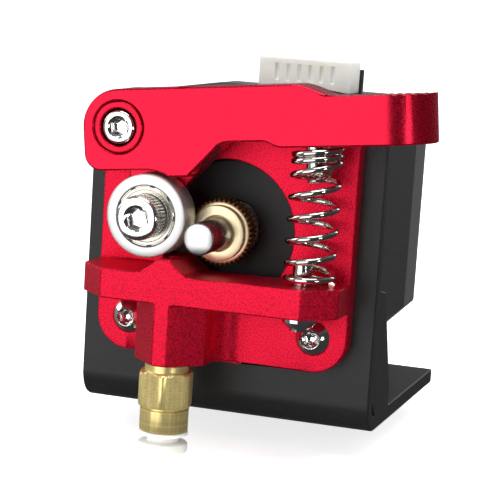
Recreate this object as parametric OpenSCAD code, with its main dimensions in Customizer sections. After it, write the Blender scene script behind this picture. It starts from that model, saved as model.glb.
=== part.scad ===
// Direct-drive filament feeder: a toothed gear on a stepper motor, a sprung idler lever, a slotted
// block with a push-in tube fitting, and the angle bracket that carries it all.
// Built about the motor axis (x = 0, z = 0) with the bracket's front face at y = 0 and the front
// towards -y. seated() then moves it so that the middle of the bracket's foot is the origin.

/* [Motor] */
// Side of the square motor flange
motor_side = 42; // [42:0.1:50]
// Length of the motor body without its pilot boss
motor_length = 41; // [34:0.5:60]
// Corner chamfer of the motor body
motor_corner_cut = 5.5; // [3:0.5:7]
// Side of the square of motor screw holes
hole_pitch = 31; // [30:0.5:32]
// Pilot boss diameter
pilot_d = 22; // [20:0.5:22.5]
// Pilot boss height
pilot_h = 2; // [1:0.1:2.2]
// Motor shaft diameter
shaft_d = 5; // [4:0.5:5]
// How far the shaft stands out of the motor flange
shaft_reach = 18.5; // [16:0.5:24]
// Thickness of the motor's front cap
front_cap_t = 9; // [8:0.5:12]
// Thickness of the motor's rear cap
rear_cap_t = 8; // [7:0.5:10]

/* [Bracket] */
// Width of the angle bracket
bracket_w = 49; // [47:0.5:60]
// Sheet thickness of the bracket
bracket_t = 2.5; // [2:0.1:3]
// Height of the motor axis over the underside of the foot
axis_height = 31; // [30:0.5:40]
// Height of the bracket's upright above the motor axis
bracket_rise = 19; // [18.5:0.5:24]
// Length of the foot from the front face of the upright
foot_length = 47.5; // [46:0.5:60]
// Inside radius of the bend
bend_r = 2.5; // [2:0.5:4]
// Sheet thickness of the two gussets
gusset_t = 1.6; // [1:0.1:2]
// Depth of each gusset along the foot, measured from the upright's front face
gusset_depth = 14; // [10:0.5:20]
// Height of each gusset above the underside of the foot
gusset_h = 22.5; // [15:0.5:26]
// Diameter of the holes in the foot
foot_hole_d = 4.5; // [3.2:0.1:5.5]
// Distance between the foot holes across the foot
foot_hole_x = 30; // [24:0.5:34]
// Distance between the foot holes along the foot
foot_hole_y = 26; // [20:0.5:28]

/* [Block] */
// Side of the block's square plate
plate_side = 42; // [41:0.5:46]
// Thickness of the plate
plate_t = 3.3; // [3:0.1:4]
// Corner radius of the plate
plate_corner_r = 5.5; // [3:0.5:7]
// Round opening in the plate
opening_d = 22.6; // [22.2:0.1:23]
// How far the bar stands in front of the bracket
bar_reach = 14.4; // [14.2:0.1:16]
// Depth of the bar's upper face below the motor axis
bar_top_drop = 6.35; // [6.2:0.05:6.8]
// Height of the bar
bar_h = 4.65; // [4.4:0.05:6]
// End and boss chamfer
bar_chamfer = 4.7; // [3:0.1:5]
// Width of the fitting boss under the bar
boss_w = 11.8; // [11:0.1:12]
// How far the boss reaches under the bar
boss_h = 9.8; // [8:0.1:11]
// Radius of the fillet between boss and plate
boss_fillet = 4; // [2:0.5:4]
// How far the filament guide nose stands over the bar
nose_h = 2.4; // [1:0.1:2.4]

/* [Filament path] */
// Distance of the filament's centre line to the left of the motor axis
path_x = 5.9; // [5.5:0.1:6.2]
// Bore that guides the filament
path_d = 2.2; // [2:0.1:2.6]

/* [Lever] */
// Tilt of the lever when the spring has pushed it right up
lever_tilt = 6; // [4:0.5:7]
// Gap between the plate and the lever's back
lever_gap = 2; // [1.8:0.1:2.4]
// Thickness of the lever
lever_t = 7; // [6.5:0.1:7.2]
// Length of the lever from its pivot to the thumb end
lever_reach = 49; // [46:0.2:56]
// Radius of the lever round its pivot
lever_eye_r = 5.9; // [5.4:0.1:6.2]
// Height of the grip above the pivot's level
grip_top = 4; // [3:0.1:4.4]
// Depth of the arm's underside below the pivot's level
arm_drop = 3.6; // [3.2:0.1:4]
// Number of ridges on the thumb grip
grip_ridges = 10; // [4:1:12]
// Distance between ridges
grip_pitch = 1.35; // [1:0.05:1.35]
// Thickness of the tongue that carries the idler
tongue_t = 2.5; // [2:0.1:2.5]

/* [Idler] */
// Idler bearing outer diameter
idler_od = 13; // [12:0.5:13]
// Idler bearing bore
idler_bore = 4; // [3:0.5:4]
// Idler bearing width
idler_w = 5; // [4:0.5:5]
// Idler axis to the right of the pivot, with the lever level
idler_dx = 4.2; // [4:0.1:4.4]
// Idler axis below the pivot, with the lever level
idler_dz = 13.7; // [13.5:0.1:14]
// Thickness of the washer behind the idler
idler_washer_t = 0.3; // [0.2:0.1:0.4]

/* [Drive gear] */
// Diameter over the teeth
gear_od = 10.6; // [10:0.1:11]
// Number of teeth
gear_teeth = 40; // [24:2:48]
// Width of the toothed band
gear_band = 3; // [2.5:0.1:3.2]
// Length of the plain nose in front of the toothed band
gear_nose = 1.4; // [1:0.1:2]
// Diameter of the hub
hub_d = 8.8; // [8:0.1:9]
// Front face of the hub in front of the bracket
hub_front = 7.5; // [7:0.1:7.5]
// Gap between the gear and the motor's pilot boss
gear_gap = 0.3; // [0.2:0.1:0.6]

/* [Spring] */
// Outside diameter of the spring
spring_od = 8.2; // [8:0.1:8.6]
// Wire diameter of the spring
wire_d = 1; // [0.9:0.05:1.2]
// Open coils of the spring
open_coils = 5; // [4:1:7]
// Spring axis to the right of the motor axis
spring_x = 15.8; // [15.4:0.1:16]
// Spring axis in front of the plate
spring_y = 5.5; // [5.3:0.1:5.9]
// Guide screw to the right of the motor axis
guide_x = 14.7; // [14.5:0.1:15.5]

/* [Tube fitting] */
// Across flats of the fitting's hexagon
fitting_hex = 8; // [7.5:0.1:9]
// Diameter of the fitting's round body
fitting_d = 7.7; // [7.4:0.1:8]
// Height of the hexagon
fitting_hex_h = 5.6; // [4:0.1:7]
// Height of the round body
fitting_body_h = 4; // [3:0.1:5]
// Bore for the tube
tube_d = 4.1; // [4:0.05:4.2]
// Travel of the release ring
release_travel = 0.8; // [0.5:0.1:0.9]

/* [Hidden] */
$fn = 64;
eps = 0.01;
fine = 0.03; // running clearance on a radius
loose = 0.1; // screw and seat clearance on a radius
hp = hole_pitch / 2;
pivot_x = -hp;
pivot_z = hp;
// Screws: M3 and M4 sizes
m3 = 3;
m3_hole = 3.4;
m3_head_d = 5.7;
m3_head_h = 1.65;
m3_dome_r = 3.4;
guide_head_h = 2.6;
m3_cap_d = 5.5;
m3_cap_h = 3;
m4 = 4;
m4_cap_d = 7;
m4_cap_h = 4;
screw_bite = 4; // depth of a screw in the motor's front cap
// Motor, measured back from the bracket's front face
flange_y = bracket_t;
rear_y = flange_y + motor_length;
cap_y = flange_y + front_cap_t;
rear_cap_y = rear_y - rear_cap_t;
stator_bore = 26;
rotor_d = stator_bore - 0.4;
motor_bearing_od = 16;
motor_bearing_w = 5;
front_seat_y = flange_y + 1.5;
rear_seat_y = rear_y - 1.5 - motor_bearing_w;
poles = 8;
pole_half = 3;
slot_r0 = 14.6;
slot_r1 = 19;
coil_half = 4.9;
coil_r1 = 18.2;
coil_over = 2.2;
collar_w = 1.2;
coil_room_d = 38.4;
coil_hub_d = 20;
coil_room_front = cap_y - collar_w - coil_over - 0.6;
coil_room_rear = rear_cap_y + collar_w + coil_over + 0.6;
// Block
plate_front = plate_t;
half_plate = plate_side / 2;
bar_top = -bar_top_drop;
bar_bottom = bar_top - bar_h;
boss_bottom = bar_bottom - boss_h;
nose_top = bar_top + nose_h;
thread_d = 6;
thread_depth = 7;
// Lever
lever_back = plate_front + lever_gap;
lever_front = lever_back + lever_t;
tongue_front = lever_back + tongue_t;
lobe_drop = 6.7;
hump_top = lever_eye_r;
idler_back = tongue_front + idler_washer_t;
idler_front = idler_back + idler_w;
idler_mid = (idler_front + idler_back) / 2;
path_y = idler_mid - 0.2; // the filament runs on the idler's middle
inner_race_t = 1.3; // wall of the idler's inner ring
race_gap = 1.25; // gap between the idler's two rings
cage_t = race_gap - 0.35;
cage_w = 2.8;
idler_ball_count = 7;
idler_inner_land = idler_bore / 2 + inner_race_t;
outer_race_t = (idler_od - idler_bore) / 2 - inner_race_t - race_gap;
idler_outer_land = idler_od / 2 - outer_race_t;
idler_pitch = (idler_outer_land + idler_inner_land) / 2;
idler_ball = idler_outer_land - idler_inner_land + 0.3;
shield_seat = 0.5;
shield_t = 0.3;
shield_od = 2 * idler_outer_land + 0.6;
pocket_r = idler_od / 2 + 0.5;
bush_d = 7;
bush_flange_d = 8;
bush_flange_t = 1.5;
pivot_washer_t = lever_back - plate_front - 2 * loose;
// Spring seat level under the tilted arm
arm_under = pivot_z + (spring_x - pivot_x) * sin(lever_tilt) - arm_drop / cos(lever_tilt);
spring_top = arm_under - 0.1;
spring_len = spring_top - bar_top;
spring_front = plate_front + spring_y;
stud_head_d = spring_od - 2 * wire_d - 0.5; // clear of the coils it steadies
stud_neck = 4.2; // how far the stud's head hangs under the arm
stud_x = (spring_x - pivot_x - (arm_drop + stud_neck + m3_head_h / 2) * sin(lever_tilt)) / cos(lever_tilt);
// Fitting
seal_gap = 0.05;
fitting_top = boss_bottom;
hex_top = fitting_top - 1.2;
hex_bottom = hex_top - fitting_hex_h;
body_bottom = hex_bottom - fitting_body_h;
cavity_d = 6.4;
cavity_h = 6.2;
hex_turn = -78; // a corner of the hexagon faces forward and to the left
collar_t = 0.6;
collet_neck_d = 5;
collet_head_t = 1.7;
neck_gap = 1.2;
foot_mid = foot_length / 2;
// Gear and spring
gear_back = gear_gap + pilot_h - bracket_t;
band_front = hub_front - gear_nose;
band_back = band_front - gear_band;
gear_tooth_h = 0.45;
grub_d = 2.5;
grub_at = (gear_back + band_back) / 2;
turns = open_coils + 3;
closed_pitch = wire_d * 1.04;
open_pitch = (spring_len - wire_d - 3 * closed_pitch) / open_coils;
// Rotor and motor bearings
rotor_y0 = cap_y + 1;
rotor_y1 = rear_cap_y - 1;
rotor_mid = (rotor_y0 + rotor_y1) / 2;
motor_ball = 3;
motor_ball_count = 8;
race_slack = 0.04; // how much wider a race's groove is than its balls
rotor_teeth = 25;
motor_pitch = (motor_bearing_od + shaft_d) / 4;
// Connector
connector_x = 1.7;
connector_w = 16.6;
connector_d = 6;
connector_h = 5.4;
connector_wall = 0.9;
pin_pitch = 2;
board_w = 17.4;
board_t = 1.4;
board_sunk = 2.4; // how far the board reaches down into the motor, clear of the coils
connector_y = rear_cap_y - connector_d + board_t;
connector_z = motor_side / 2;

// ---------- helpers ----------

module seated() {
    translate([0, -foot_mid, axis_height]) children();
}

// A round bar along y between two distances in front of the bracket
module rod(x, z, front, back, d, fn = 64) {
    translate([x, -back, z]) rotate([90, 0, 0]) cylinder(h = front - back, d = d, $fn = fn);
}

// An outline in x and z, given depth between two distances in front of the bracket
module slab(front, back) {
    translate([0, -back, 0]) rotate([90, 0, 0]) linear_extrude(front - back) children();
}

// A ring section in (radius, distance) turned round a y axis
module turned_y(x, z, back) {
    translate([x, -back, z]) rotate([90, 0, 0]) rotate_extrude() children();
}

function arc(cx, cz, r, a0, a1, n) =
    [for (i = [0:n]) [cx + r * cos(a0 + (a1 - a0) * i / n), cz + r * sin(a0 + (a1 - a0) * i / n)]];

module rounded_square(side, r) {
    square([side - 2 * r, side], center = true);
    square([side, side - 2 * r], center = true);
    for (sx = [-1, 1], sz = [-1, 1])
        translate([sx * (side / 2 - r), sz * (side / 2 - r)]) circle(r);
}

module chamfered_square(side, cut) {
    h = side / 2;
    polygon([[h - cut, -h], [h, cut - h], [h, h - cut], [h - cut, h],
        [cut - h, h], [-h, h - cut], [-h, cut - h], [cut - h, -h]]);
}

module at_corners(pitch) {
    for (sx = [-1, 1], sz = [-1, 1])
        translate([sx * pitch / 2, 0, sz * pitch / 2]) children();
}

// Domed screw: head from z = 0 up, shank down, hexagon socket
module button_screw(len, head_h = m3_head_h, head_d = m3_head_d) {
    difference() {
        union() {
            intersection() {
                cylinder(h = head_h, d = head_d);
                translate([0, 0, head_h - m3_dome_r]) sphere(m3_dome_r);
            }
            translate([0, 0, -len]) cylinder(h = len + eps, d = m3);
        }
        translate([0, 0, head_h - 1]) cylinder(h = 2, d = 2.3, $fn = 6);
    }
}

// Straight-sided socket screw: head from z = 0 up, shank down
module cap_screw(d, head_d, head_h, socket, len) {
    difference() {
        union() {
            cylinder(h = head_h, d = head_d);
            translate([0, 0, -len]) cylinder(h = len + eps, d = d);
        }
        translate([0, 0, head_h / 2]) cylinder(h = head_h, d = socket / cos(30), $fn = 6);
    }
}

// One screw pointing back along +y, its head starting at this distance in front of the bracket
module facing_front(x, z, seat) {
    translate([x, -seat, z]) rotate([90, 0, 0]) children();
}

module on_lever() {
    translate([pivot_x, 0, pivot_z]) rotate([0, -lever_tilt, 0]) children();
}

module ball_ring(pitch_r, ball, count) {
    for (i = [0:count - 1])
        rotate([0, i * 360 / count, 0]) translate([pitch_r, 0, 0]) sphere(d = ball);
}

// ---------- bracket and block ----------

module bracket_profile() {
    outer = bend_r + bracket_t;
    translate([0, outer - axis_height]) square([bracket_t, axis_height + bracket_rise - outer]);
    translate([outer, -axis_height]) square([foot_length - outer, bracket_t]);
    translate([outer, outer - axis_height]) intersection() {
        difference() {
            circle(outer);
            circle(bend_r);
        }
        translate([-outer, -outer]) square(outer);
    }
}

module gusset_profile() {
    low = bracket_t - axis_height - eps;
    polygon([[bracket_t - eps, low + bend_r], [bracket_t + bend_r, low], [gusset_depth, low],
        [gusset_depth, low + 3], [bracket_t + 4, gusset_h - axis_height],
        [bracket_t - eps, gusset_h - axis_height + 0.8]]);
}

module along_x(width) {
    rotate([90, 0, 90]) linear_extrude(width, center = true) children();
}

module mounting_bracket() {
    color("#2b2b2d") difference() {
        union() {
            along_x(bracket_w) bracket_profile();
            for (side = [-1, 1])
                translate([side * (bracket_w - gusset_t) / 2, 0, 0])
                    along_x(gusset_t) gusset_profile();
        }
        rod(0, 0, 1, -bracket_t - 1, pilot_d + 0.4);
        at_corners(hole_pitch) rod(0, 0, 1, -bracket_t - 1, m3_hole);
        for (sx = [-1, 1], sy = [-1, 1])
            translate([sx * foot_hole_x / 2, foot_mid + sy * foot_hole_y / 2, -axis_height - 1])
                cylinder(h = bracket_t + 2, d = foot_hole_d);
    }
}

module bar_plan() {
    inner = half_plate - bar_chamfer;
    polygon([[-half_plate, eps - plate_front], [-half_plate, bar_chamfer - bar_reach],
        [-inner, -bar_reach], [inner, -bar_reach], [half_plate, bar_chamfer - bar_reach],
        [half_plate, eps - plate_front]]);
}

module boss_plan() {
    w = boss_w / 2;
    x = w - bar_chamfer;
    polygon(concat([[-w, eps - plate_front], [-w, bar_chamfer - bar_reach], [-x, -bar_reach],
        [x, -bar_reach], [w, bar_chamfer - bar_reach], [w, -plate_front - boss_fillet]],
        arc(w + boss_fillet, -plate_front - boss_fillet, boss_fillet, 180, 90, 12),
        [[w + boss_fillet, eps - plate_front]]));
}

module base_block() {
    color("#d8143a") difference() {
        union() {
            slab(plate_front, 0) rounded_square(plate_side, plate_corner_r);
            difference() {
                union() {
                    translate([0, 0, bar_bottom]) linear_extrude(bar_h) bar_plan();
                    translate([-path_x, 0, boss_bottom])
                        linear_extrude(boss_h + eps) boss_plan();
                }
                rod(0, 0, plate_front + 1, 0, opening_d);
            }
            difference() {
                translate([-path_x - 4.5, -bar_reach, bar_top - eps])
                    cube([8, bar_reach - plate_front + eps, nose_h + eps]);
                rod(pivot_x + 3.2, pivot_z - 15.1, bar_reach + 1, 0, idler_od + 0.6);
                rod(0, 0, bar_reach + 1, 0, gear_od + 2.2);
            }
        }
        rod(0, 0, plate_front + eps, -1, opening_d);
        at_corners(hole_pitch) rod(0, 0, plate_front + 1, -1, m3_hole);
        translate([-path_x, -path_y, boss_bottom - 1]) {
            cylinder(h = nose_top - boss_bottom + 2, d = path_d);
            cylinder(h = thread_depth + 1, d = thread_d);
        }
        translate([guide_x, -spring_front, bar_bottom - 1]) cylinder(h = bar_h + 2, d = m3 + 2 * fine);
    }
}

module plate_screws() {
    len = plate_front + bracket_t + screw_bite;
    color("silver") for (at = [[-hp, -hp], [hp, -hp], [hp, hp]])
        facing_front(at[0], at[1], plate_front) button_screw(len);
}

module pivot_bush() {
    color("#c01535") difference() {
        union() {
            rod(pivot_x, pivot_z, lever_front - eps, plate_front, bush_d);
            rod(pivot_x, pivot_z, lever_front, lever_front - bush_flange_t, bush_flange_d);
        }
        rod(pivot_x, pivot_z, lever_front + 1, -1, m3 + 2 * loose);
        rod(pivot_x, pivot_z, lever_front + 1, lever_front - m3_cap_h, m3_cap_d + 4 * loose);
    }
}

module pivot_washer() {
    color("gainsboro") turned_y(pivot_x, pivot_z, plate_front)
        translate([bush_d / 2 + fine, 0]) square([2.4, pivot_washer_t]);
}

module pivot_screw() {
    seat = lever_front - m3_cap_h;
    color("silver") facing_front(pivot_x, pivot_z, seat)
        cap_screw(m3, m3_cap_d, m3_cap_h, 2.5, seat + bracket_t + screw_bite);
}

// ---------- lever and idler ----------

// Points of the arm, clockwise from the thumb end, about the pivot
function lever_outline() =
    let (dip0 = lever_reach - 20.9, dip1 = lever_reach - 13.9, step = lever_reach - 22.8,
        notch = acos((idler_dz - lobe_drop - 1.1) / pocket_r))
    concat([[lever_reach, -arm_drop], [lever_reach, grip_top]],
        [for (i = [8:-1:0]) [dip0 + (dip1 - dip0) * i / 8,
            hump_top + (grip_top - hump_top) * (1 - cos(180 * i / 8)) / 2]],
        arc(0, 0, lever_eye_r, 90, 180, 16),
        arc(-lever_eye_r + 2.7, -lobe_drop + 2.7, 2.7, 180, 270, 8),
        arc(idler_dx, -idler_dz, pocket_r, 90, 90 - notch, 10),
        [[11, -lobe_drop - 1.1]],
        [[15.4, -arm_drop - 0.2], [16.1, -arm_drop + 0.5], [17, -arm_drop + 0.9],
            [18.2, -arm_drop + 1]],
        [for (i = [0:6]) [step - 3.1 + 3.1 * i / 6,
            -arm_drop + (1 + cos(180 * i / 6)) / 2]]);

module lever_plan() {
    translate([-lever_eye_r - 1, -lever_front])
        square([lever_reach + lever_eye_r + 1 - lever_t, lever_t]);
    translate([lever_reach - lever_t, -lever_back]) intersection() {
        circle(lever_t);
        translate([-eps, -lever_t]) square([lever_t + eps, lever_t]);
    }
}

module tongue_outline() {
    r = idler_od / 2 - 2;
    translate([idler_dx, -idler_dz]) circle(r);
    polygon([[idler_dx - r, -idler_dz], [idler_dx + r, -idler_dz], [idler_dx + r, -9.8],
        [11, -lobe_drop - 1.1], [11, -lobe_drop + 1], [idler_dx - r, -lobe_drop + 1]]);
}

module lever_arm() {
    color("#e0153c") on_lever() difference() {
        union() {
            intersection() {
                slab(lever_front, lever_back) polygon(lever_outline());
                translate([0, 0, -15]) linear_extrude(30) lever_plan();
            }
            slab(tongue_front, lever_back) tongue_outline();
        }
        rod(0, 0, lever_front + 1, 0, bush_d + 2 * fine);
        rod(0, 0, lever_front + 1, lever_front - bush_flange_t - loose,
            bush_flange_d + 2 * loose);
        rod(idler_dx, -idler_dz, lever_front, 0, m4 + fine);
        translate([-pivot_x - path_x + 1.2, -path_y, -15]) cylinder(h = 30, d = path_d + 1);
        translate([stud_x, -spring_front, -arm_drop - 1])
            cylinder(h = 6, d = m3 + fine);
        for (i = [0:grip_ridges - 1])
            translate([lever_reach - 13.2 + i * grip_pitch, -lever_back + 1, grip_top + 0.35])
                rotate([90, 0, 0]) cylinder(h = lever_t + 2, d = 1.1);
    }
}

module ring_y(d_out, d_in, front, back) {
    turned_y(0, 0, back) translate([d_in / 2, 0]) square([(d_out - d_in) / 2, front - back]);
}

// Ball groove ring: the groove is cut with the balls' own torus
module race_ring(d_out, d_in, front, back, pitch_r, groove) {
    difference() {
        ring_y(d_out, d_in, front, back);
        turned_y(0, 0, (front + back) / 2) translate([pitch_r, 0]) circle(d = groove, $fn = 40);
    }
}

module at_idler() {
    on_lever() translate([idler_dx, 0, -idler_dz]) children();
}

module idler_outer_ring() {
    color("gainsboro") at_idler() difference() {
        race_ring(idler_od, 2 * idler_outer_land, idler_front, idler_back, idler_pitch,
            idler_ball + race_slack);
        rod(0, 0, idler_front + 1, idler_front - shield_seat, shield_od);
        rod(0, 0, idler_back + shield_seat, idler_back - 1, shield_od);
    }
}

module idler_inner_ring() {
    color("gainsboro") at_idler() race_ring(2 * idler_inner_land, idler_bore + 2 * fine,
        idler_front, idler_back, idler_pitch, idler_ball + race_slack);
}

module idler_balls() {
    color("silver") at_idler() translate([0, -idler_mid, 0])
        ball_ring(idler_pitch, idler_ball, idler_ball_count);
}

module idler_cage() {
    color("tan") at_idler() difference() {
        ring_y(2 * idler_pitch + cage_t, 2 * idler_pitch - cage_t,
            idler_mid + cage_w / 2, idler_mid - cage_w / 2);
        for (i = [0:idler_ball_count - 1])
            rotate([0, i * 360 / idler_ball_count, 0]) translate([idler_pitch - 1, -idler_mid, 0])
                rotate([0, 90, 0]) cylinder(h = 2, d = idler_ball + 0.2);
    }
}

module idler_shields() {
    color("silver") at_idler()
        for (y = [idler_front - loose, idler_back + loose + shield_t])
            ring_y(shield_od - fine, 2 * idler_inner_land + 0.4, y, y - shield_t);
}

module idler_washer() {
    color("silver") at_idler()
        ring_y(5.6, m4 + 2 * loose, idler_back - eps, tongue_front);
}

module idler_screw() {
    color("silver") at_idler() facing_front(0, 0, idler_front)
        cap_screw(m4, m4_cap_d, m4_cap_h, 3, idler_front - lever_back);
}

// ---------- drive gear and spring ----------

function gear_outline() =
    let (root = gear_od / 2 - gear_tooth_h, step = 360 / gear_teeth)
    [for (i = [0:gear_teeth - 1], k = [0:3])
        let (a = step * (i + [0, 0.22, 0.5, 0.72][k]), r = k < 2 ? root : gear_od / 2)
        [r * cos(a), r * sin(a)]];

module drive_gear() {
    color("goldenrod") difference() {
        union() {
            slab(band_front, band_back) polygon(gear_outline());
            rod(0, 0, hub_front, gear_back, hub_d);
        }
        rod(0, 0, hub_front + 1, gear_back - 1, shaft_d + 2 * fine);
        translate([0, -grub_at, 0]) cylinder(h = hub_d, d = grub_d);
    }
}

module gear_grub_screw() {
    color("dimgray") translate([0, -grub_at, 0]) difference() {
        translate([0, 0, shaft_d / 2 + 2 * fine]) cylinder(h = 1.6, d = grub_d - 2 * fine);
        translate([0, 0, shaft_d / 2 + 1]) cylinder(h = 2, d = 1.3 / cos(30), $fn = 6);
    }
}

// Height of the wire's centre after a number of turns: one closed turn at the foot, two at the top,
// which lean with the lever's arm
function coil_z(t) = wire_d / 2
    + closed_pitch * (min(t, 1) + max(0, t - 1 - open_coils))
    + open_pitch * min(max(0, t - 1), open_coils);
function coil_lean(t) = tan(lever_tilt) * min(max(0, t / open_coils - 0.2), 1);

module tension_spring() {
    sides = 8;
    per_turn = 16;
    r = (spring_od - wire_d) / 2;
    steps = turns * per_turn;
    points = [for (i = [0:steps], k = [0:sides - 1])
        let (a = 360 * i / per_turn, b = 360 * k / sides, q = r + wire_d / 2 * cos(b))
        [q * cos(a), q * sin(a),
            coil_z(i / per_turn) + q * cos(a) * coil_lean(i / per_turn) + wire_d / 2 * sin(b)]];
    walls = [for (i = [0:steps - 1], k = [0:sides - 1])
        let (n = (k + 1) % sides)
        [i * sides + k, i * sides + n, (i + 1) * sides + n, (i + 1) * sides + k]];
    color("silver") translate([spring_x, -spring_front, bar_top])
        polyhedron(points, concat([[for (k = [sides - 1:-1:0]) k]], walls,
            [[for (k = [0:sides - 1]) steps * sides + k]]), convexity = 10);
}

module spring_stud_screw() {
    color("silver") on_lever()
        translate([stud_x, -spring_front, -arm_drop - stud_neck])
            rotate([180, 0, 0]) button_screw(6, m3_head_h, stud_head_d);
}

module spring_guide_screw() {
    color("silver") translate([guide_x, -spring_front, bar_bottom]) rotate([180, 0, 0])
        button_screw(bar_h + 3.4, guide_head_h);
}

// ---------- tube fitting ----------

module at_fitting() {
    translate([-path_x, -path_y, 0]) children();
}

module fitting_body() {
    color("#c9a14a") at_fitting() difference() {
        union() {
            translate([0, 0, fitting_top]) cylinder(h = thread_depth - 1, d = thread_d - 2 * fine);
            translate([0, 0, hex_top - eps]) cylinder(h = fitting_top - hex_top + eps, d = 6.9);
            translate([0, 0, hex_bottom]) rotate([0, 0, hex_turn])
                cylinder(h = fitting_hex_h, d = fitting_hex / cos(30), $fn = 6);
            translate([0, 0, body_bottom]) cylinder(h = fitting_body_h + 1, d = fitting_d);
        }
        translate([0, 0, body_bottom - 1]) cylinder(h = 40, d = path_d);
        translate([0, 0, body_bottom - 1]) cylinder(h = hex_top - body_bottom, d = tube_d);
        translate([0, 0, body_bottom - 1]) cylinder(h = 1 + cavity_h, d = cavity_d);
    }
}

module fitting_o_ring() {
    color("black") at_fitting() translate([0, 0, body_bottom + 5.6]) rotate_extrude()
        translate([tube_d / 2 + 0.52, 0]) circle(d = 1, $fn = 32);
}

module fitting_grab_ring() {
    color("silver") at_fitting() difference() {
        translate([0, 0, body_bottom + 4.2]) cylinder(h = 0.4, d = cavity_d - 2 * seal_gap);
        translate([0, 0, body_bottom + 4]) cylinder(h = 1, d = tube_d + 0.2);
        for (i = [0:7])
            rotate([0, 0, 45 * i]) translate([1.5, -0.2, body_bottom + 4]) cube([1.1, 0.4, 1]);
    }
}

module fitting_collar() {
    color("whitesmoke") at_fitting() difference() {
        union() {
            translate([0, 0, body_bottom - collar_t]) cylinder(h = collar_t, d = fitting_d + 0.2);
            translate([0, 0, body_bottom - eps]) cylinder(h = 3.4, d = cavity_d - 2 * seal_gap);
        }
        translate([0, 0, body_bottom - 1]) cylinder(h = 6, d = collet_neck_d + 2 * fine);
    }
}

module release_ring() {
    top = body_bottom + 4.1 - release_travel - seal_gap;
    head = body_bottom - collar_t - neck_gap;
    color("white") at_fitting() difference() {
        union() {
            translate([0, 0, head - eps]) cylinder(h = top - head, d = collet_neck_d);
            translate([0, 0, head - collet_head_t])
                cylinder(h = collet_head_t, d = fitting_d + 0.2);
        }
        translate([0, 0, head - 5]) cylinder(h = 20, d = tube_d + 0.1);
    }
}

// ---------- motor ----------

module motor_hollow(front, back, d) {
    rod(0, 0, -front, -back, d);
}

module motor_front_cap() {
    color("#3a3a3d") difference() {
        union() {
            slab(-flange_y, -cap_y) chamfered_square(motor_side, motor_corner_cut);
            rod(0, 0, pilot_h - flange_y, -flange_y - eps, pilot_d);
        }
        motor_hollow(front_seat_y, cap_y + 1, motor_bearing_od);
        ring_y(coil_room_d, coil_hub_d, -coil_room_front, -cap_y - 1);
        motor_hollow(-5, cap_y, 9);
        at_corners(hole_pitch) rod(0, 0, 0, -cap_y - 1, m3 + 2 * fine);
    }
}

// One spoke of the stator, on the x axis, between two radii
module pole_bar(r0, r1, half_w, y0, y1) {
    translate([r0, y0, -half_w]) cube([r1 - r0, y1 - y0, 2 * half_w]);
}

module each_pole(offset = 0) {
    for (i = [0:poles - 1])
        rotate([0, (i + offset) * 360 / poles, 0]) children();
}

module motor_stator() {
    color("#232325") difference() {
        slab(-cap_y, -rear_cap_y) chamfered_square(motor_side, motor_corner_cut);
        motor_hollow(cap_y - 1, rear_cap_y + 1, stator_bore);
        difference() {
            ring_y(2 * slot_r1, 2 * slot_r0, 1 - cap_y, -rear_cap_y - 1);
            each_pole() pole_bar(stator_bore / 2, slot_r1 + 1, pole_half, cap_y - 2, rear_cap_y + 2);
        }
        each_pole(0.5) pole_bar(stator_bore / 2 - 1, slot_r0 + 0.5, 0.8, cap_y - 1, rear_cap_y + 1);
        at_corners(hole_pitch) rod(0, 0, 1 - cap_y, -rear_cap_y - 1, m3 + 4 * loose);
    }
}

// Collars that carry the coils, one on each end of the stator
module winding_bobbins() {
    color("#1d1d1f") for (y = [cap_y - collar_w, rear_cap_y]) {
        ring_y(2 * slot_r0 - loose, stator_bore + 0.4, -y, -y - collar_w);
        each_pole() pole_bar(slot_r0 - 0.3, coil_r1, pole_half, y, y + collar_w);
    }
}

module motor_windings() {
    y0 = cap_y - collar_w;
    y1 = rear_cap_y + collar_w;
    color("#b5651d") each_pole() difference() {
        pole_bar(slot_r0 + 0.2, coil_r1, coil_half, y0 - coil_over, y1 + coil_over);
        pole_bar(slot_r0 - 1, coil_r1 + 1, pole_half + fine, y0 - eps, y1 + eps);
    }
}

module motor_shaft() {
    front = shaft_reach - flange_y;
    chamfer = 0.4;
    color("gainsboro") {
        rod(0, 0, front - chamfer, -rear_y + 1.5, shaft_d);
        translate([0, chamfer - front + eps, 0]) rotate([90, 0, 0])
            cylinder(h = chamfer + eps, d1 = shaft_d, d2 = shaft_d - 2 * chamfer);
    }
}

// Two toothed cups, half a tooth apart
module rotor_cups() {
    color("gray") for (end = [[rotor_y0, rotor_mid - 1, 0], [rotor_mid + 1, rotor_y1, 1]])
        difference() {
            rod(0, 0, -end[0], -end[1], rotor_d);
            rod(0, 0, 1 - end[0], -end[1] - 1, shaft_d);
            for (i = [0:rotor_teeth - 1])
                rotate([0, (i + end[2] / 2) * 360 / rotor_teeth, 0])
                    translate([rotor_d / 2 - 0.7, end[0] - 1, -0.8])
                        cube([2, end[1] - end[0] + 2, 1.6]);
        }
}

module rotor_magnet() {
    color("#444444") ring_y(20, shaft_d, 1 - rotor_mid, -rotor_mid - 1);
}

module motor_bearing_outer(y) {
    race_ring(motor_bearing_od - 2 * fine, 12.6, -y, -y - motor_bearing_w, motor_pitch,
        motor_ball + race_slack);
}

module motor_bearing_inner(y) {
    race_ring(8.4, shaft_d, -y, -y - motor_bearing_w, motor_pitch, motor_ball + race_slack);
}

module motor_bearing_balls(y) {
    translate([0, y + motor_bearing_w / 2, 0]) ball_ring(motor_pitch, motor_ball, motor_ball_count);
}

module front_bearing_outer() {
    color("silver") motor_bearing_outer(front_seat_y);
}

module front_bearing_inner() {
    color("silver") motor_bearing_inner(front_seat_y);
}

module front_bearing_balls() {
    color("silver") motor_bearing_balls(front_seat_y);
}

module rear_bearing_outer() {
    color("silver") motor_bearing_outer(rear_seat_y);
}

module rear_bearing_inner() {
    color("silver") motor_bearing_inner(rear_seat_y);
}

module rear_bearing_balls() {
    color("silver") motor_bearing_balls(rear_seat_y);
}

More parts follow.
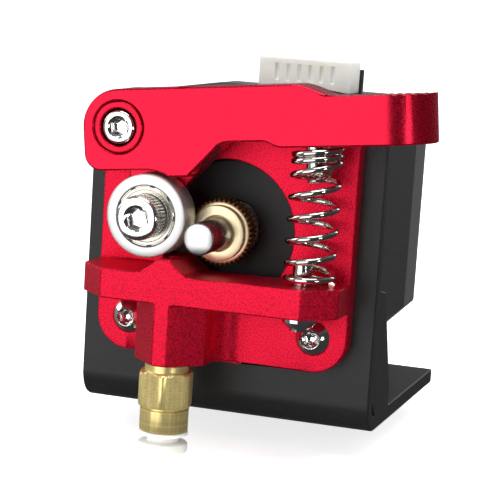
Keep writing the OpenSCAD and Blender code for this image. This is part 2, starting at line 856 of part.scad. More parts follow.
module wave_washer() {
    y = rear_seat_y + motor_bearing_w;
    color("silver") ring_y(motor_bearing_od - 0.4, 12.8, -y - 0.1, -y - 0.4);
}

module motor_rear_cap() {
    color("#77787c") difference() {
        slab(-rear_cap_y, -rear_y) chamfered_square(motor_side, motor_corner_cut);
        motor_hollow(rear_cap_y - 1, rear_seat_y + motor_bearing_w + 0.5, motor_bearing_od);
        ring_y(coil_room_d, coil_hub_d, 1 - rear_cap_y, -coil_room_rear);
        motor_hollow(rear_cap_y, rear_y - 1, 9);
        at_corners(hole_pitch) rod(0, 0, 1 - rear_cap_y, -rear_y - 1, m3 + 4 * loose);
        at_corners(hole_pitch) rod(0, 0, m3_cap_h + 0.5 - rear_y, -rear_y - 1, m3_cap_d + 0.5);
        translate([connector_x - board_w / 2 - loose, rear_cap_y - 1, connector_z - board_sunk - loose])
            cube([board_w + 2 * loose, board_t + 1 + loose, 8]);
    }
}

module motor_case_screws() {
    seat = rear_y - m3_cap_h - 0.5;
    color("silver") at_corners(hole_pitch) translate([0, seat, 0]) rotate([-90, 0, 0])
        cap_screw(m3, m3_cap_d, m3_cap_h, 2.5, seat - flange_y - screw_bite - 2.5);
}

// ---------- connector ----------

module connector_board() {
    color("#161616") translate([connector_x - board_w / 2, rear_cap_y, connector_z - board_sunk])
        cube([board_w, board_t, connector_h + 1 + loose]);
}

module connector_housing() {
    color("whitesmoke") difference() {
        translate([connector_x - connector_w / 2, connector_y - board_t, connector_z + 0.1])
            cube([connector_w, connector_d, connector_h]);
        translate([connector_x - connector_w / 2 + connector_wall,
            connector_y - board_t + connector_wall, connector_z + 1.1])
            cube([connector_w - 2 * connector_wall, connector_d - 2 * connector_wall, 8]);
        for (i = [-2.5:2.5])
            translate([connector_x + i * pin_pitch - 0.3,
                connector_y - board_t - 1, connector_z + 1.6])
                cube([0.6, 1 + connector_wall / 2, 2.8]);
        pins(2 * fine);
    }
}

module pins(grow) {
    for (i = [-2.5:2.5])
        translate([connector_x + i * pin_pitch - 0.25 - grow,
            connector_y - board_t + connector_d / 2 - 0.25 - grow, connector_z + 0.05])
            cube([0.5 + 2 * grow, 0.5 + 2 * grow, 4]);
}

module connector_pins() {
    color("gold") pins(0);
}

seated() mounting_bracket();
seated() base_block();
seated() plate_screws();
seated() pivot_bush();
seated() pivot_washer();
seated() pivot_screw();
seated() lever_arm();
seated() idler_outer_ring();
seated() idler_inner_ring();
seated() idler_balls();
seated() idler_cage();
seated() idler_shields();
seated() idler_washer();
seated() idler_screw();
seated() drive_gear();
seated() gear_grub_screw();
seated() tension_spring();
seated() spring_stud_screw();
seated() spring_guide_screw();
seated() fitting_body();
seated() fitting_o_ring();
seated() fitting_grab_ring();
seated() fitting_collar();
seated() release_ring();
seated() motor_front_cap();
seated() motor_stator();
seated() winding_bobbins();
seated() motor_windings();
seated() motor_shaft();
seated() rotor_cups();
seated() rotor_magnet();
seated() front_bearing_outer();
seated() front_bearing_inner();
seated() front_bearing_balls();
seated() rear_bearing_outer();
seated() rear_bearing_inner();
seated() rear_bearing_balls();
seated() wave_washer();
seated() motor_rear_cap();
seated() motor_case_screws();
seated() connector_board();
seated() connector_housing();
seated() connector_pins();
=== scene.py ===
"""Looks for the filament extruder drive unit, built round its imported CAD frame."""

import logging
import math
from collections.abc import Callable, Sequence
from dataclasses import dataclass, field
from enum import Enum

import bmesh
import bpy
from mathutils import Matrix, Vector


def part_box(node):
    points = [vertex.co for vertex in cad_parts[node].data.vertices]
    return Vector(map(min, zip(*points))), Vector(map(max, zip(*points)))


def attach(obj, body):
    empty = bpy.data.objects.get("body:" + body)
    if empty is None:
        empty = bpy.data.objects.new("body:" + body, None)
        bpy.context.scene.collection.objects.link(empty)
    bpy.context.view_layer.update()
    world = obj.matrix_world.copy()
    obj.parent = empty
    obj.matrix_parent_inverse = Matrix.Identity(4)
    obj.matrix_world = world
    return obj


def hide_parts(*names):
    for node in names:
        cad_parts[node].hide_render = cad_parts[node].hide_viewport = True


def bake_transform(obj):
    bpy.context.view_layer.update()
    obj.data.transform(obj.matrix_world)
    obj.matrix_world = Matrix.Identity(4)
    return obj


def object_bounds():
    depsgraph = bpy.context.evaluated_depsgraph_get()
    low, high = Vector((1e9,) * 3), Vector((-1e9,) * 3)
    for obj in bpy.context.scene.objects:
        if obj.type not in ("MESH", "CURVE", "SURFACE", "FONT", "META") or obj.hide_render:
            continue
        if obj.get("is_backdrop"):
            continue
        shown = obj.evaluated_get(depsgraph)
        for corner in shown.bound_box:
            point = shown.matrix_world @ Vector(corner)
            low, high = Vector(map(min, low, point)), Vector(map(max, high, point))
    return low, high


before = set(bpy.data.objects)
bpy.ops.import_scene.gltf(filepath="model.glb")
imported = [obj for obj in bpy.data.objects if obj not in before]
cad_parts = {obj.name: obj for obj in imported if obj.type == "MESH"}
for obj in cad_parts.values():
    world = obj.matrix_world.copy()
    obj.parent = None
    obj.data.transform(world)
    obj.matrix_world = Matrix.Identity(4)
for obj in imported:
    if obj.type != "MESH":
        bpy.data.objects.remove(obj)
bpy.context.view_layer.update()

LOG = logging.getLogger("extruder")
MM = 0.001
TAU = 2 * math.pi
Colour = tuple[float, float, float]


# ---------- node graphs ----------


class Signal:
    """A number inside a node graph, which ordinary arithmetic can combine."""

    def __init__(self, graph: "Graph", socket: bpy.types.NodeSocket) -> None:
        """Wraps one output socket of a graph."""
        self.graph = graph
        self.socket = socket

    def _math(self, operation: str, *values: "Signal | float") -> "Signal":
        """Adds one Math node on the given values and returns its result."""
        settings = {"operation": operation}
        return self.graph.signal("ShaderNodeMath", settings, dict(enumerate(values)))

    def __add__(self, other: "Signal | float") -> "Signal":
        """Sum."""
        return self._math("ADD", self, other)

    def __radd__(self, other: float) -> "Signal":
        """Sum with a number on the left."""
        return self._math("ADD", other, self)

    def __sub__(self, other: "Signal | float") -> "Signal":
        """Difference."""
        return self._math("SUBTRACT", self, other)

    def __rsub__(self, other: float) -> "Signal":
        """Difference with a number on the left."""
        return self._math("SUBTRACT", other, self)

    def __mul__(self, other: "Signal | float") -> "Signal":
        """Product."""
        return self._math("MULTIPLY", self, other)

    def __rmul__(self, other: float) -> "Signal":
        """Product with a number on the left."""
        return self._math("MULTIPLY", other, self)

    def __truediv__(self, other: "Signal | float") -> "Signal":
        """Quotient."""
        return self._math("DIVIDE", self, other)

    def root(self) -> "Signal":
        """Square root."""
        return self._math("SQRT", self)

    def sine(self) -> "Signal":
        """Sine of the value in radians."""
        return self._math("SINE", self)

    def cosine(self) -> "Signal":
        """Cosine of the value in radians."""
        return self._math("COSINE", self)

    def between(self, low: "Signal | float", high: "Signal | float") -> "Signal":
        """The value held between two limits."""
        return self._math("MINIMUM", self._math("MAXIMUM", self, low), high)

    def step(self, edge: float, width: float) -> "Signal":
        """Rises from 0 to 1 over a width centred on an edge."""
        return ((self - (edge - width / 2)) / width).between(0.0, 1.0)


class Graph:
    """A node tree with one way to add a node of any kind."""

    def __init__(self, tree: bpy.types.NodeTree) -> None:
        """Wraps an existing tree."""
        self.tree = tree

    def node(self, kind: str, settings: dict | None = None, inputs: dict | None = None) -> bpy.types.Node:
        """Adds a node.

        Args:
            kind: the node's type name.
            settings: attributes to set on it.
            inputs: socket name or index to a number, colour, socket or Signal.

        Returns:
            The new node.
        """
        made = self.tree.nodes.new(kind)
        for key, value in (settings or {}).items():
            setattr(made, key, value)
        for key, value in (inputs or {}).items():
            socket = made.inputs[key]
            if isinstance(value, Signal):
                self.tree.links.new(value.socket, socket)
            elif isinstance(value, bpy.types.NodeSocket):
                self.tree.links.new(value, socket)
            else:
                socket.default_value = value
        return made

    def signal(self, kind: str, settings: dict | None = None, inputs: dict | None = None,
               output: int | str = 0) -> Signal:
        """Adds a node and returns one of its outputs as a Signal."""
        return Signal(self, self.node(kind, settings, inputs).outputs[output])

    def split(self, vector: bpy.types.NodeSocket) -> tuple[Signal, Signal, Signal]:
        """Splits a vector socket into its three numbers."""
        parts = self.node("ShaderNodeSeparateXYZ", None, {0: vector}).outputs
        return Signal(self, parts[0]), Signal(self, parts[1]), Signal(self, parts[2])

    def vector(self, x: Signal | float, y: Signal | float, z: Signal | float) -> bpy.types.NodeSocket:
        """Joins three numbers into a vector socket."""
        return self.node("ShaderNodeCombineXYZ", None, {0: x, 1: y, 2: z}).outputs[0]


# ---------- finishes ----------


@dataclass(frozen=True)
class Finish:
    """A surface finish. Lengths are in metres, as object coordinates are."""

    name: str
    colour: Colour
    roughness: float = 0.4
    metallic: float = 0.0
    specular: float = 0.5

    def material(self) -> bpy.types.Material:
        """Builds the finish as a material, or returns the one already built."""
        found = bpy.data.materials.get(self.name)
        if found:
            return found
        made = bpy.data.materials.new(self.name)
        made.use_nodes = True
        graph = Graph(made.node_tree)
        shader = made.node_tree.nodes["Principled BSDF"]
        shader.inputs["Base Color"].default_value = (*self.colour, 1)
        shader.inputs["Roughness"].default_value = self.roughness
        shader.inputs["Metallic"].default_value = self.metallic
        shader.inputs["Specular IOR Level"].default_value = self.specular
        made.diffuse_color = (*self.colour, 1)
        self.dress(graph, shader)
        return made

    def dress(self, graph: Graph, shader: bpy.types.Node) -> None:
        """Adds what the finish varies over the surface."""

    def place(self, graph: Graph) -> bpy.types.NodeSocket:
        """The point on the surface, in object coordinates."""
        return graph.node("ShaderNodeTexCoord").outputs["Object"]

    def noise(self, graph: Graph, size: float, detail: float = 2.0,
              place: bpy.types.NodeSocket | None = None) -> Signal:
        """A noise with features of about the given size in metres."""
        where = place or self.place(graph)
        return graph.signal("ShaderNodeTexNoise", None,
                            {"Vector": where, "Scale": 1 / size, "Detail": detail})

    def paint(self, graph: Graph, shader: bpy.types.Node, level: Signal, low: Colour, high: Colour) -> None:
        """Feeds the base colour with a blend of two colours."""
        mix = graph.node("ShaderNodeMix", {"data_type": "RGBA"},
                         {0: level, 6: (*low, 1), 7: (*high, 1)})
        graph.tree.links.new(mix.outputs[2], shader.inputs["Base Color"])

    def feed(self, graph: Graph, shader: bpy.types.Node, name: str, level: Signal) -> None:
        """Links a Signal to one socket of the shader."""
        graph.tree.links.new(level.socket, shader.inputs[name])

    def relief(self, graph: Graph, shader: bpy.types.Node, height: Signal, depth: float,
               strength: float = 1.0) -> None:
        """Feeds the normal with a bump of the given depth in metres."""
        bump = graph.node("ShaderNodeBump", None,
                          {"Height": height, "Distance": depth, "Strength": strength})
        graph.tree.links.new(bump.outputs[0], shader.inputs["Normal"])


def scaled(colour: Colour, factor: float) -> Colour:
    """A colour made lighter or darker."""
    return tuple(min(1.0, part * factor) for part in colour)


@dataclass(frozen=True)
class BlastedMetal(Finish):
    """Bead-blasted and anodised metal: a fine grain that sparkles a little."""

    grain: float = 0.00013
    depth: float = 0.00001
    sparkle: float = 0.3

    def dress(self, graph: Graph, shader: bpy.types.Node) -> None:
        """Adds the blasted grain, its sparkle and broad uneven dye."""
        place = self.place(graph)
        grain = self.noise(graph, self.grain, 3.0, place)
        cloud = self.noise(graph, 0.006, 2.0, place)
        level = (grain - 0.5) * (6.0 * self.sparkle) + (cloud - 0.5) * 0.3 + 0.55
        self.paint(graph, shader, level.between(0.0, 1.0), scaled(self.colour, 0.5), scaled(self.colour, 1.16))
        rough = self.roughness + (grain - 0.5) * self.sparkle * 0.8 + (cloud - 0.5) * 0.1
        self.feed(graph, shader, "Roughness", rough.between(0.08, 0.9))
        self.relief(graph, shader, grain, self.depth)


@dataclass(frozen=True)
class TurnedMetal(Finish):
    """Metal turned on a lathe: fine rings round its own axis."""

    centre: tuple[float, float, float] = (0.0, 0.0, 0.0)
    upright: bool = False
    line: float = 0.00009
    depth: float = 0.000002
    rim: float = 1.0
    # painted shade: the dark brown colour given beyond the rim's radius
    rim_shade_colour: Colour = (0.2, 0.09, 0.035)
    hatch: float = 0.0

    def dress(self, graph: Graph, shader: bpy.types.Node) -> None:
        """Adds the turning marks, a few handling marks and painted shade: a dark brown tone, with more roughness,
        beyond the rim's radius.
        """
        place = self.place(graph)
        x, y, z = graph.split(place)
        across = y - self.centre[1] if self.upright else z - self.centre[2]
        along = z if self.upright else y
        side = x - self.centre[0]
        radius = (side * side + across * across).root()
        ring = self.noise(graph, self.line, 2.0, graph.vector(radius, along, 0.0))
        wear = self.noise(graph, 0.0012, 3.0, place)
        lines = self.noise(graph, self.line * 2, 2.0, graph.vector(side, across, 0.0))
        cross = (lines - 0.5) * self.hatch + (ring - 0.5) * (self.hatch + 0.5)
        tone = graph.node("ShaderNodeMix", {"data_type": "RGBA"},
                          {0: (cross + wear * 0.6 + 0.2).between(0.0, 1.0),
                           6: (*scaled(self.colour, 0.82 - self.hatch * 0.1), 1),
                           7: (*scaled(self.colour, 1.1), 1)})
        # mask for the painted shade beyond the rim's radius, which also raises the roughness there
        rim_shade = radius.step(self.rim, 0.0003)
        mix = graph.node("ShaderNodeMix", {"data_type": "RGBA"},
                         {0: rim_shade, 6: tone.outputs[2], 7: (*self.rim_shade_colour, 1)})
        graph.tree.links.new(mix.outputs[2], shader.inputs["Base Color"])
        rough = self.roughness * 0.7 + ring * 0.06 + wear * self.roughness * 0.5 + rim_shade * 0.2
        self.feed(graph, shader, "Roughness", rough.between(0.03, 0.9))
        self.relief(graph, shader, ring, self.depth)


@dataclass(frozen=True)
class PlatedMetal(Finish):
    """Bright plated steel, with a soft unevenness under the plating."""

    pit: float = 0.0004
    depth: float = 0.000004

    def dress(self, graph: Graph, shader: bpy.types.Node) -> None:
        """Adds faint waves, pits and cloudy patches."""
        place = self.place(graph)
        pits = self.noise(graph, self.pit, 3.0, place)
        cloud = self.noise(graph, 0.002, 2.0, place)
        self.paint(graph, shader, cloud.between(0.0, 1.0), scaled(self.colour, 0.86), scaled(self.colour, 1.06))
        self.feed(graph, shader, "Roughness", (self.roughness * (0.6 + cloud * 0.8)).between(0.03, 0.9))
        self.relief(graph, shader, pits, self.depth)


@dataclass(frozen=True)
class Coating(Finish):
    """Powder coat or paint: a soft orange-peel surface with a little dust."""

    peel: float = 0.0005
    depth: float = 0.00002
    dust: float = 0.15

    def dress(self, graph: Graph, shader: bpy.types.Node) -> None:
        """Adds the peel, fine speckle and uneven gloss."""
        place = self.place(graph)
        peel = self.noise(graph, self.peel, 2.0, place)
        speck = self.noise(graph, self.peel * 0.25, 2.0, place)
        self.paint(graph, shader, ((speck - 0.5) * 2.2 * self.dust + peel * 0.4 + 0.3).between(0.0, 1.0),
                   scaled(self.colour, 0.8), scaled(self.colour, 1.5))
        self.feed(graph, shader, "Roughness",
                  (self.roughness + (peel - 0.5) * 0.15 + (speck - 0.5) * self.dust).between(0.1, 0.95))
        self.relief(graph, shader, peel * 0.7 + speck * 0.3, self.depth)


@dataclass(frozen=True)
class Laminated(Finish):
    """A painted stack of steel sheets, with the sheets' edges as fine lines along y."""

    sheet: float = 0.0005

    def dress(self, graph: Graph, shader: bpy.types.Node) -> None:
        """Adds the line at each sheet and an uneven paint film."""
        place = self.place(graph)
        y = graph.split(place)[1]
        line = (y * (TAU / self.sheet)).sine() * 0.5 + 0.5
        cloud = self.noise(graph, 0.0007, 3.0, place)
        self.paint(graph, shader, (line * 0.5 + cloud * 0.5).between(0.0, 1.0),
                   scaled(self.colour, 0.7), scaled(self.colour, 1.4))
        self.feed(graph, shader, "Roughness", (self.roughness + (cloud - 0.5) * 0.2).between(0.1, 0.9))
        self.relief(graph, shader, line * 0.8 + cloud * 0.2, 0.000012)


@dataclass(frozen=True)
class Moulded(Finish):
    """Moulded plastic or rubber, with a fine mould texture."""

    grain: float = 0.0003
    depth: float = 0.000006
    glow: float = 0.0

    def dress(self, graph: Graph, shader: bpy.types.Node) -> None:
        """Adds the mould texture and, for pale nylon, light that passes under the skin."""
        place = self.place(graph)
        grain = self.noise(graph, self.grain, 2.0, place)
        cloud = self.noise(graph, 0.002, 2.0, place)
        if self.glow:
            shader.inputs["Subsurface Weight"].default_value = self.glow
            shader.inputs["Subsurface Radius"].default_value = (1.0, 0.9, 0.75)
            shader.inputs["Subsurface Scale"].default_value = 0.0006
        self.paint(graph, shader, cloud.between(0.0, 1.0), scaled(self.colour, 0.92), scaled(self.colour, 1.08))
        self.feed(graph, shader, "Roughness", (self.roughness + (grain - 0.5) * 0.15).between(0.08, 0.95))
        self.relief(graph, shader, grain, self.depth)


RED = (0.86, 0.008, 0.045)
RED_BLOCK = BlastedMetal("red_blasted", RED, 0.42, 0.85, grain=0.00026, depth=0.00006, sparkle=0.75)
RED_LEVER = BlastedMetal("red_satin", scaled(RED, 0.8), 0.27, 0.85, grain=0.00024, depth=0.00001, sparkle=0.22)
NICKEL = PlatedMetal("bright_nickel", (0.8, 0.78, 0.73), 0.25, 1.0)
SPRING_WIRE = PlatedMetal("plated_wire", (0.76, 0.74, 0.69), 0.1, 1.0, pit=0.0003)
BEARING_STEEL = PlatedMetal("bearing_steel", (0.78, 0.78, 0.78), 0.17, 1.0, pit=0.0006, depth=0.000002)
SHIELD_STEEL = PlatedMetal("shield_steel", (0.66, 0.62, 0.54), 0.26, 1.0, pit=0.0003, depth=0.000003)
SHAFT_STEEL = PlatedMetal("shaft_steel", (0.68, 0.68, 0.69), 0.3, 1.0, pit=0.00015)
BLACK_OXIDE = PlatedMetal("black_oxide", (0.05, 0.05, 0.055), 0.35, 0.9)
MAGNET = Coating("sintered_magnet", (0.16, 0.16, 0.17), 0.5, 0.6)
BRACKET_COAT = Coating("charcoal_coat", (0.011, 0.011, 0.0112), 0.46, 0.0, 0.4, peel=0.0004, depth=0.000016)
MOTOR_PAINT = Coating("motor_paint", (0.014, 0.014, 0.0145), 0.5, 0.1, 0.4, peel=0.0003, depth=0.00001)
MOTOR_STACK = Laminated("motor_stack", (0.018, 0.018, 0.019), 0.4, 0.2)
CAST_ALLOY = Coating("cast_alloy", (0.17, 0.17, 0.18), 0.45, 0.6, peel=0.0004, depth=0.00003)
WHITE_NYLON = Moulded("white_nylon", (0.92, 0.92, 0.88), 0.34, glow=1.0)
BOARD_BLACK = Moulded("board_black", (0.012, 0.012, 0.013), 0.4)
BOBBIN = Moulded("bobbin_nylon", (0.02, 0.02, 0.022), 0.5)
CAGE = Moulded("cage_nylon", (0.55, 0.42, 0.24), 0.5)
RUBBER = Moulded("seal_rubber", (0.02, 0.02, 0.02), 0.6)
COPPER = Laminated("copper_wire", (0.6, 0.22, 0.08), 0.3, 1.0, sheet=0.0003)
CONTACT = PlatedMetal("contact_plating", (0.8, 0.62, 0.32), 0.2, 1.0)


# ---------- shapes ----------


class Outline(Enum):
    """What a ring of a turned piece looks like along its axis."""

    ROUND = "round"
    HEX = "hex"
    KNURL = "knurl"
    TEETH = "teeth"


class Facing(Enum):
    """The way that a turned piece's own axis points."""

    FRONT = (0, -1, 0)
    BACK = (0, 1, 0)
    UP = (0, 0, 1)
    DOWN = (0, 0, -1)


@dataclass(frozen=True)
class Ring:
    """One ring of points: its radius and its place along the axis, in millimetres."""

    radius: float
    along: float
    outline: Outline = Outline.ROUND
    count: int = 0
    depth: float = 0.0
    limit: float = 99.0

    def reach(self, angle: float) -> float:
        """The radius at an angle. A hexagon's radius is to its flats, cut off at the limit."""
        if self.outline is Outline.HEX:
            sixth = math.pi / 3
            return min(self.limit, self.radius / math.cos((angle + sixth / 2) % sixth - sixth / 2))
        if self.outline is Outline.KNURL:
            return self.radius - self.depth * (0.5 - 0.5 * math.cos(self.count * angle))
        if self.outline is Outline.TEETH:
            phase = (self.count * angle / TAU) % 1.0
            rise = max(0.0, min(1.0, 2.5 - abs(phase - 0.5) * 8))
            return self.radius - self.depth * (1 - rise)
        return self.radius


def frame_at(origin: Vector, facing: Facing, spin: float = 0.0, lean: float = 0.0) -> Matrix:
    """The place and direction of a turned piece.

    Args:
        origin: where its axis starts, in metres.
        facing: where its axis points.
        spin: turn about its own axis, in degrees.
        lean: turn of the axis about y, in degrees.

    Returns:
        A matrix from the piece's millimetres to the row frame.
    """
    w = Vector(facing.value)
    u = Vector((1, 0, 0))
    v = w.cross(u)
    turn = Matrix((u, v, w)).transposed().to_4x4()
    leaning = Matrix.Rotation(math.radians(lean), 4, "Y")
    spinning = Matrix.Rotation(math.radians(spin), 4, "Z")
    return Matrix.Translation(origin) @ leaning @ turn @ spinning @ Matrix.Scale(MM, 4)


def new_object(name: str, mesh: bpy.types.Mesh) -> bpy.types.Object:
    """Links a mesh into the scene as an object."""
    made = bpy.data.objects.new(name, mesh)
    bpy.context.scene.collection.objects.link(made)
    return made


def smooth(mesh: bpy.types.Mesh, angle: float = 32.0) -> None:
    """Shades a mesh smooth, with edges over an angle left sharp."""
    mesh.polygons.foreach_set("use_smooth", [True] * len(mesh.polygons))
    mesh.set_sharp_from_angle(angle=math.radians(angle))


def turned(name: str, rings: Sequence[Ring], where: Matrix, segments: int = 72,
           closed: bool = False) -> bpy.types.Object:
    """Makes a turned piece from its rings.

    Args:
        name: the object's name.
        rings: from one end to the other; a radius of 0 is a point on the axis.
        where: the matrix from frame_at.
        segments: points in each ring.
        closed: joins the last ring to the first, for a piece with a bore.

    Returns:
        The new object.
    """
    shape = bmesh.new()
    loops = []
    for ring in rings:
        if ring.radius <= 0:
            loops.append([shape.verts.new((0, 0, ring.along))])
            continue
        angles = [TAU * k / segments for k in range(segments)]
        loops.append([shape.verts.new((ring.reach(a) * math.cos(a), ring.reach(a) * math.sin(a), ring.along))
                      for a in angles])
    pairs = list(zip(loops, loops[1:]))
    if closed:
        pairs.append((loops[-1], loops[0]))
    for low, high in pairs:
        for k in range(segments):
            n = (k + 1) % segments
            corners = [low[k % len(low)], low[n % len(low)], high[n % len(high)], high[k % len(high)]]
            unique = list(dict.fromkeys(corners))
            if len(unique) > 2:
                shape.faces.new(unique)
    bmesh.ops.recalc_face_normals(shape, faces=shape.faces)
    shape.transform(where)
    mesh = bpy.data.meshes.new(name)
    shape.to_mesh(mesh)
    shape.free()
    smooth(mesh)
    return new_object(name, mesh)


def evaluated(source: bpy.types.Object, name: str) -> bpy.types.Object:
    """Turns an object with modifiers into a plain mesh object, and removes the source."""
    bpy.context.view_layer.update()
    graph = bpy.context.evaluated_depsgraph_get()
    mesh = bpy.data.meshes.new_from_object(source.evaluated_get(graph), depsgraph=graph)
    mesh.transform(source.matrix_world)
    bpy.data.objects.remove(source)
    mesh.name = name
    return new_object(name, mesh)


def softened(node: str, name: str, width: float, segments: int = 2, merge: bool = False,
             weigh: Callable[[bmesh.types.BMEdge], float] | None = None) -> bpy.types.Object:
    """Copies a CAD node as a piece whose sharp edges are broken, as a maker breaks them.

    Args:
        node: the CAD node.
        name: the piece's name.
        width: width of the broken edge, in millimetres.
        segments: faces across each broken edge.
        merge: joins flat faces first.
        weigh: share of the width for an edge, or the whole width where it is missing.

    Returns:
        The new object.
    """
    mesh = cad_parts[node].data.copy()
    shape = bmesh.new()
    shape.from_mesh(mesh)
    bmesh.ops.remove_doubles(shape, verts=shape.verts, dist=2e-6)
    bmesh.ops.dissolve_degenerate(shape, edges=shape.edges, dist=2e-6)
    if merge:
        bmesh.ops.dissolve_limit(shape, angle_limit=math.radians(1), verts=shape.verts, edges=shape.edges)
    layer = shape.edges.layers.float.new("bevel_weight_edge")
    for edge in shape.edges:
        if len(edge.link_faces) == 2 and edge.calc_face_angle(0.0) > math.radians(28):
            edge[layer] = weigh(edge) if weigh else 1.0
    shape.to_mesh(mesh)
    shape.free()
    mesh.materials.clear()
    piece = new_object(name, mesh)
    bevel = piece.modifiers.new("edges", "BEVEL")
    bevel.limit_method = "WEIGHT"
    bevel.width = width * MM
    bevel.segments = segments
    bevel.use_clamp_overlap = False
    bevel.loop_slide = False
    bevel.miter_outer = "MITER_ARC"
    piece = evaluated(piece, name)
    smooth(piece.data, 40.0)
    weighted = piece.modifiers.new("normals", "WEIGHTED_NORMAL")
    weighted.keep_sharp = True
    return evaluated(piece, name)


def dressed(piece: bpy.types.Object, finish: Finish, slot: str, *nodes: str) -> bpy.types.Object:
    """Gives a piece its finish and hides the CAD nodes that it stands for.

    Args:
        piece: the plain mesh object.
        finish: its surface finish.
        slot: not used.
        nodes: CAD nodes that it stands for.

    Returns:
        The same object.
    """
    piece.data.materials.clear()
    piece.data.materials.append(finish.material())
    if nodes:
        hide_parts(*nodes)
    LOG.info("%s: %d faces in %s", piece.name, len(piece.data.polygons), finish.name)
    return piece


def finished(piece: bpy.types.Object, body: str, finish: Finish, slot: str, *nodes: str) -> bpy.types.Object:
    """Dresses a piece and sets it on the CAD body that it rides on.

    Args:
        piece: the plain mesh object.
        body: the CAD body that it rides on.
        finish: its surface finish.
        slot: not used.
        nodes: CAD nodes that it stands for.

    Returns:
        The same object.
    """
    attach(piece, body)
    return dressed(piece, finish, slot, *nodes)


def repaint(finish: Finish, *nodes: str) -> None:
    """Gives CAD nodes that stay in view a better material."""
    for node in nodes:
        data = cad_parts[node].data
        if data.materials:
            for k in range(len(data.materials)):
                data.materials[k] = finish.material()
        else:
            data.materials.append(finish.material())
        LOG.info("%s keeps its CAD shape in %s", node, finish.name)


def corners_of(node: str) -> tuple[Vector, Vector]:
    """Low and high corners of a CAD node's box, in metres."""
    low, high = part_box(node)
    return Vector(low), Vector(high)


def centre_of(node: str) -> Vector:
    """Middle of a CAD node's box, in metres."""
    low, high = corners_of(node)
    return (low + high) / 2


# ---------- geometry-node trees ----------


class Tree(Graph):
    """A geometry-node tree with named inputs, which ends in realised, painted geometry."""

    def __init__(self, name: str) -> None:
        """Starts an empty tree with geometry and material sockets."""
        super().__init__(bpy.data.node_groups.new(name, "GeometryNodeTree"))
        face = self.tree.interface
        face.new_socket("Geometry", in_out="INPUT", socket_type="NodeSocketGeometry")
        face.new_socket("Geometry", in_out="OUTPUT", socket_type="NodeSocketGeometry")
        self.material = face.new_socket("Material", in_out="INPUT", socket_type="NodeSocketMaterial")
        self.entry = self.node("NodeGroupInput")
        self.names: dict[str, str] = {"Material": self.material.identifier}

    def size(self, name: str, kind: str = "Float") -> Signal:
        """Adds a named input of a kind such as Float, Int, Vector or Object."""
        made = self.tree.interface.new_socket(name, in_out="INPUT", socket_type=f"NodeSocket{kind}")
        self.names[name] = made.identifier
        return Signal(self, self.entry.outputs[name])

    def end(self, geometry: bpy.types.NodeSocket) -> None:
        """Realises the instances, sets the material and ends the tree."""
        real = self.node("GeometryNodeRealizeInstances", None, {0: geometry})
        painted = self.node("GeometryNodeSetMaterial", None,
                            {"Geometry": real.outputs[0], "Material": self.entry.outputs["Material"]})
        self.node("NodeGroupOutput", None, {0: painted.outputs[0]})

    def grow(self, name: str, base: bpy.types.Mesh | None, finish: Finish, values: dict) -> bpy.types.Object:
        """Runs the tree and returns its result as a plain mesh object.

        Args:
            name: the new object's name.
            base: the mesh that the tree works on, if it needs one.
            finish: the finish for its Material input.
            values: input name to value, in metres.

        Returns:
            The new object, with no modifier.
        """
        holder = new_object(name + "_tree", base or bpy.data.meshes.new(name + "_base"))
        modifier = holder.modifiers.new("tree", "NODES")
        modifier.node_group = self.tree
        modifier[self.names["Material"]] = finish.material()
        for key, value in values.items():
            modifier[self.names[key]] = value
        return evaluated(holder, name)


def copies_tree() -> Tree:
    """A tree that sets one copy of a piece on each point of the mesh it works on."""
    tree = Tree("copies_at_points")
    piece = tree.size("Piece", "Object")
    scale = tree.size("Scale")
    info = tree.node("GeometryNodeObjectInfo", {"transform_space": "ORIGINAL"}, {"Object": piece})
    copies = tree.node("GeometryNodeInstanceOnPoints", None,
                       {"Points": tree.entry.outputs["Geometry"], "Instance": info.outputs["Geometry"],
                        "Scale": tree.vector(scale, scale, scale)})
    tree.end(copies.outputs[0])
    return tree


def coil_tree() -> Tree:
    """A tree that winds a compression spring with closed ends up the z axis."""
    tree = Tree("compression_coil")
    radius, wire = tree.size("Radius"), tree.size("Wire Radius")
    closed, opened = tree.size("Closed Pitch"), tree.size("Open Pitch")
    open_turns, turns, lean = tree.size("Open Turns"), tree.size("Turns"), tree.size("Lean")
    steps, sides = tree.size("Steps", "Int"), tree.size("Sides", "Int")
    line = tree.node("GeometryNodeCurvePrimitiveLine")
    many = tree.node("GeometryNodeResampleCurve", None,
                     {"Curve": line.outputs[0], "Count": steps})
    turn = tree.signal("GeometryNodeSplineParameter", None, None, "Factor") * turns
    risen = (turn - 1.0).between(0.0, open_turns)
    height = wire + closed * (turn - risen) + opened * risen
    angle = turn * TAU
    x, y = angle.cosine() * radius, angle.sine() * radius
    leaning = x * lean * (turn / open_turns - 0.2).between(0.0, 1.0)
    path = tree.node("GeometryNodeSetPosition", None,
                     {"Geometry": many.outputs[0], "Position": tree.vector(x, y, height + leaning)})
    section = tree.node("GeometryNodeCurvePrimitiveCircle", None, {"Resolution": sides, "Radius": wire})
    tube = tree.node("GeometryNodeCurveToMesh", None,
                     {"Curve": path.outputs[0], "Profile Curve": section.outputs["Curve"], "Fill Caps": True})
    tree.end(tube.outputs[0])
    return tree


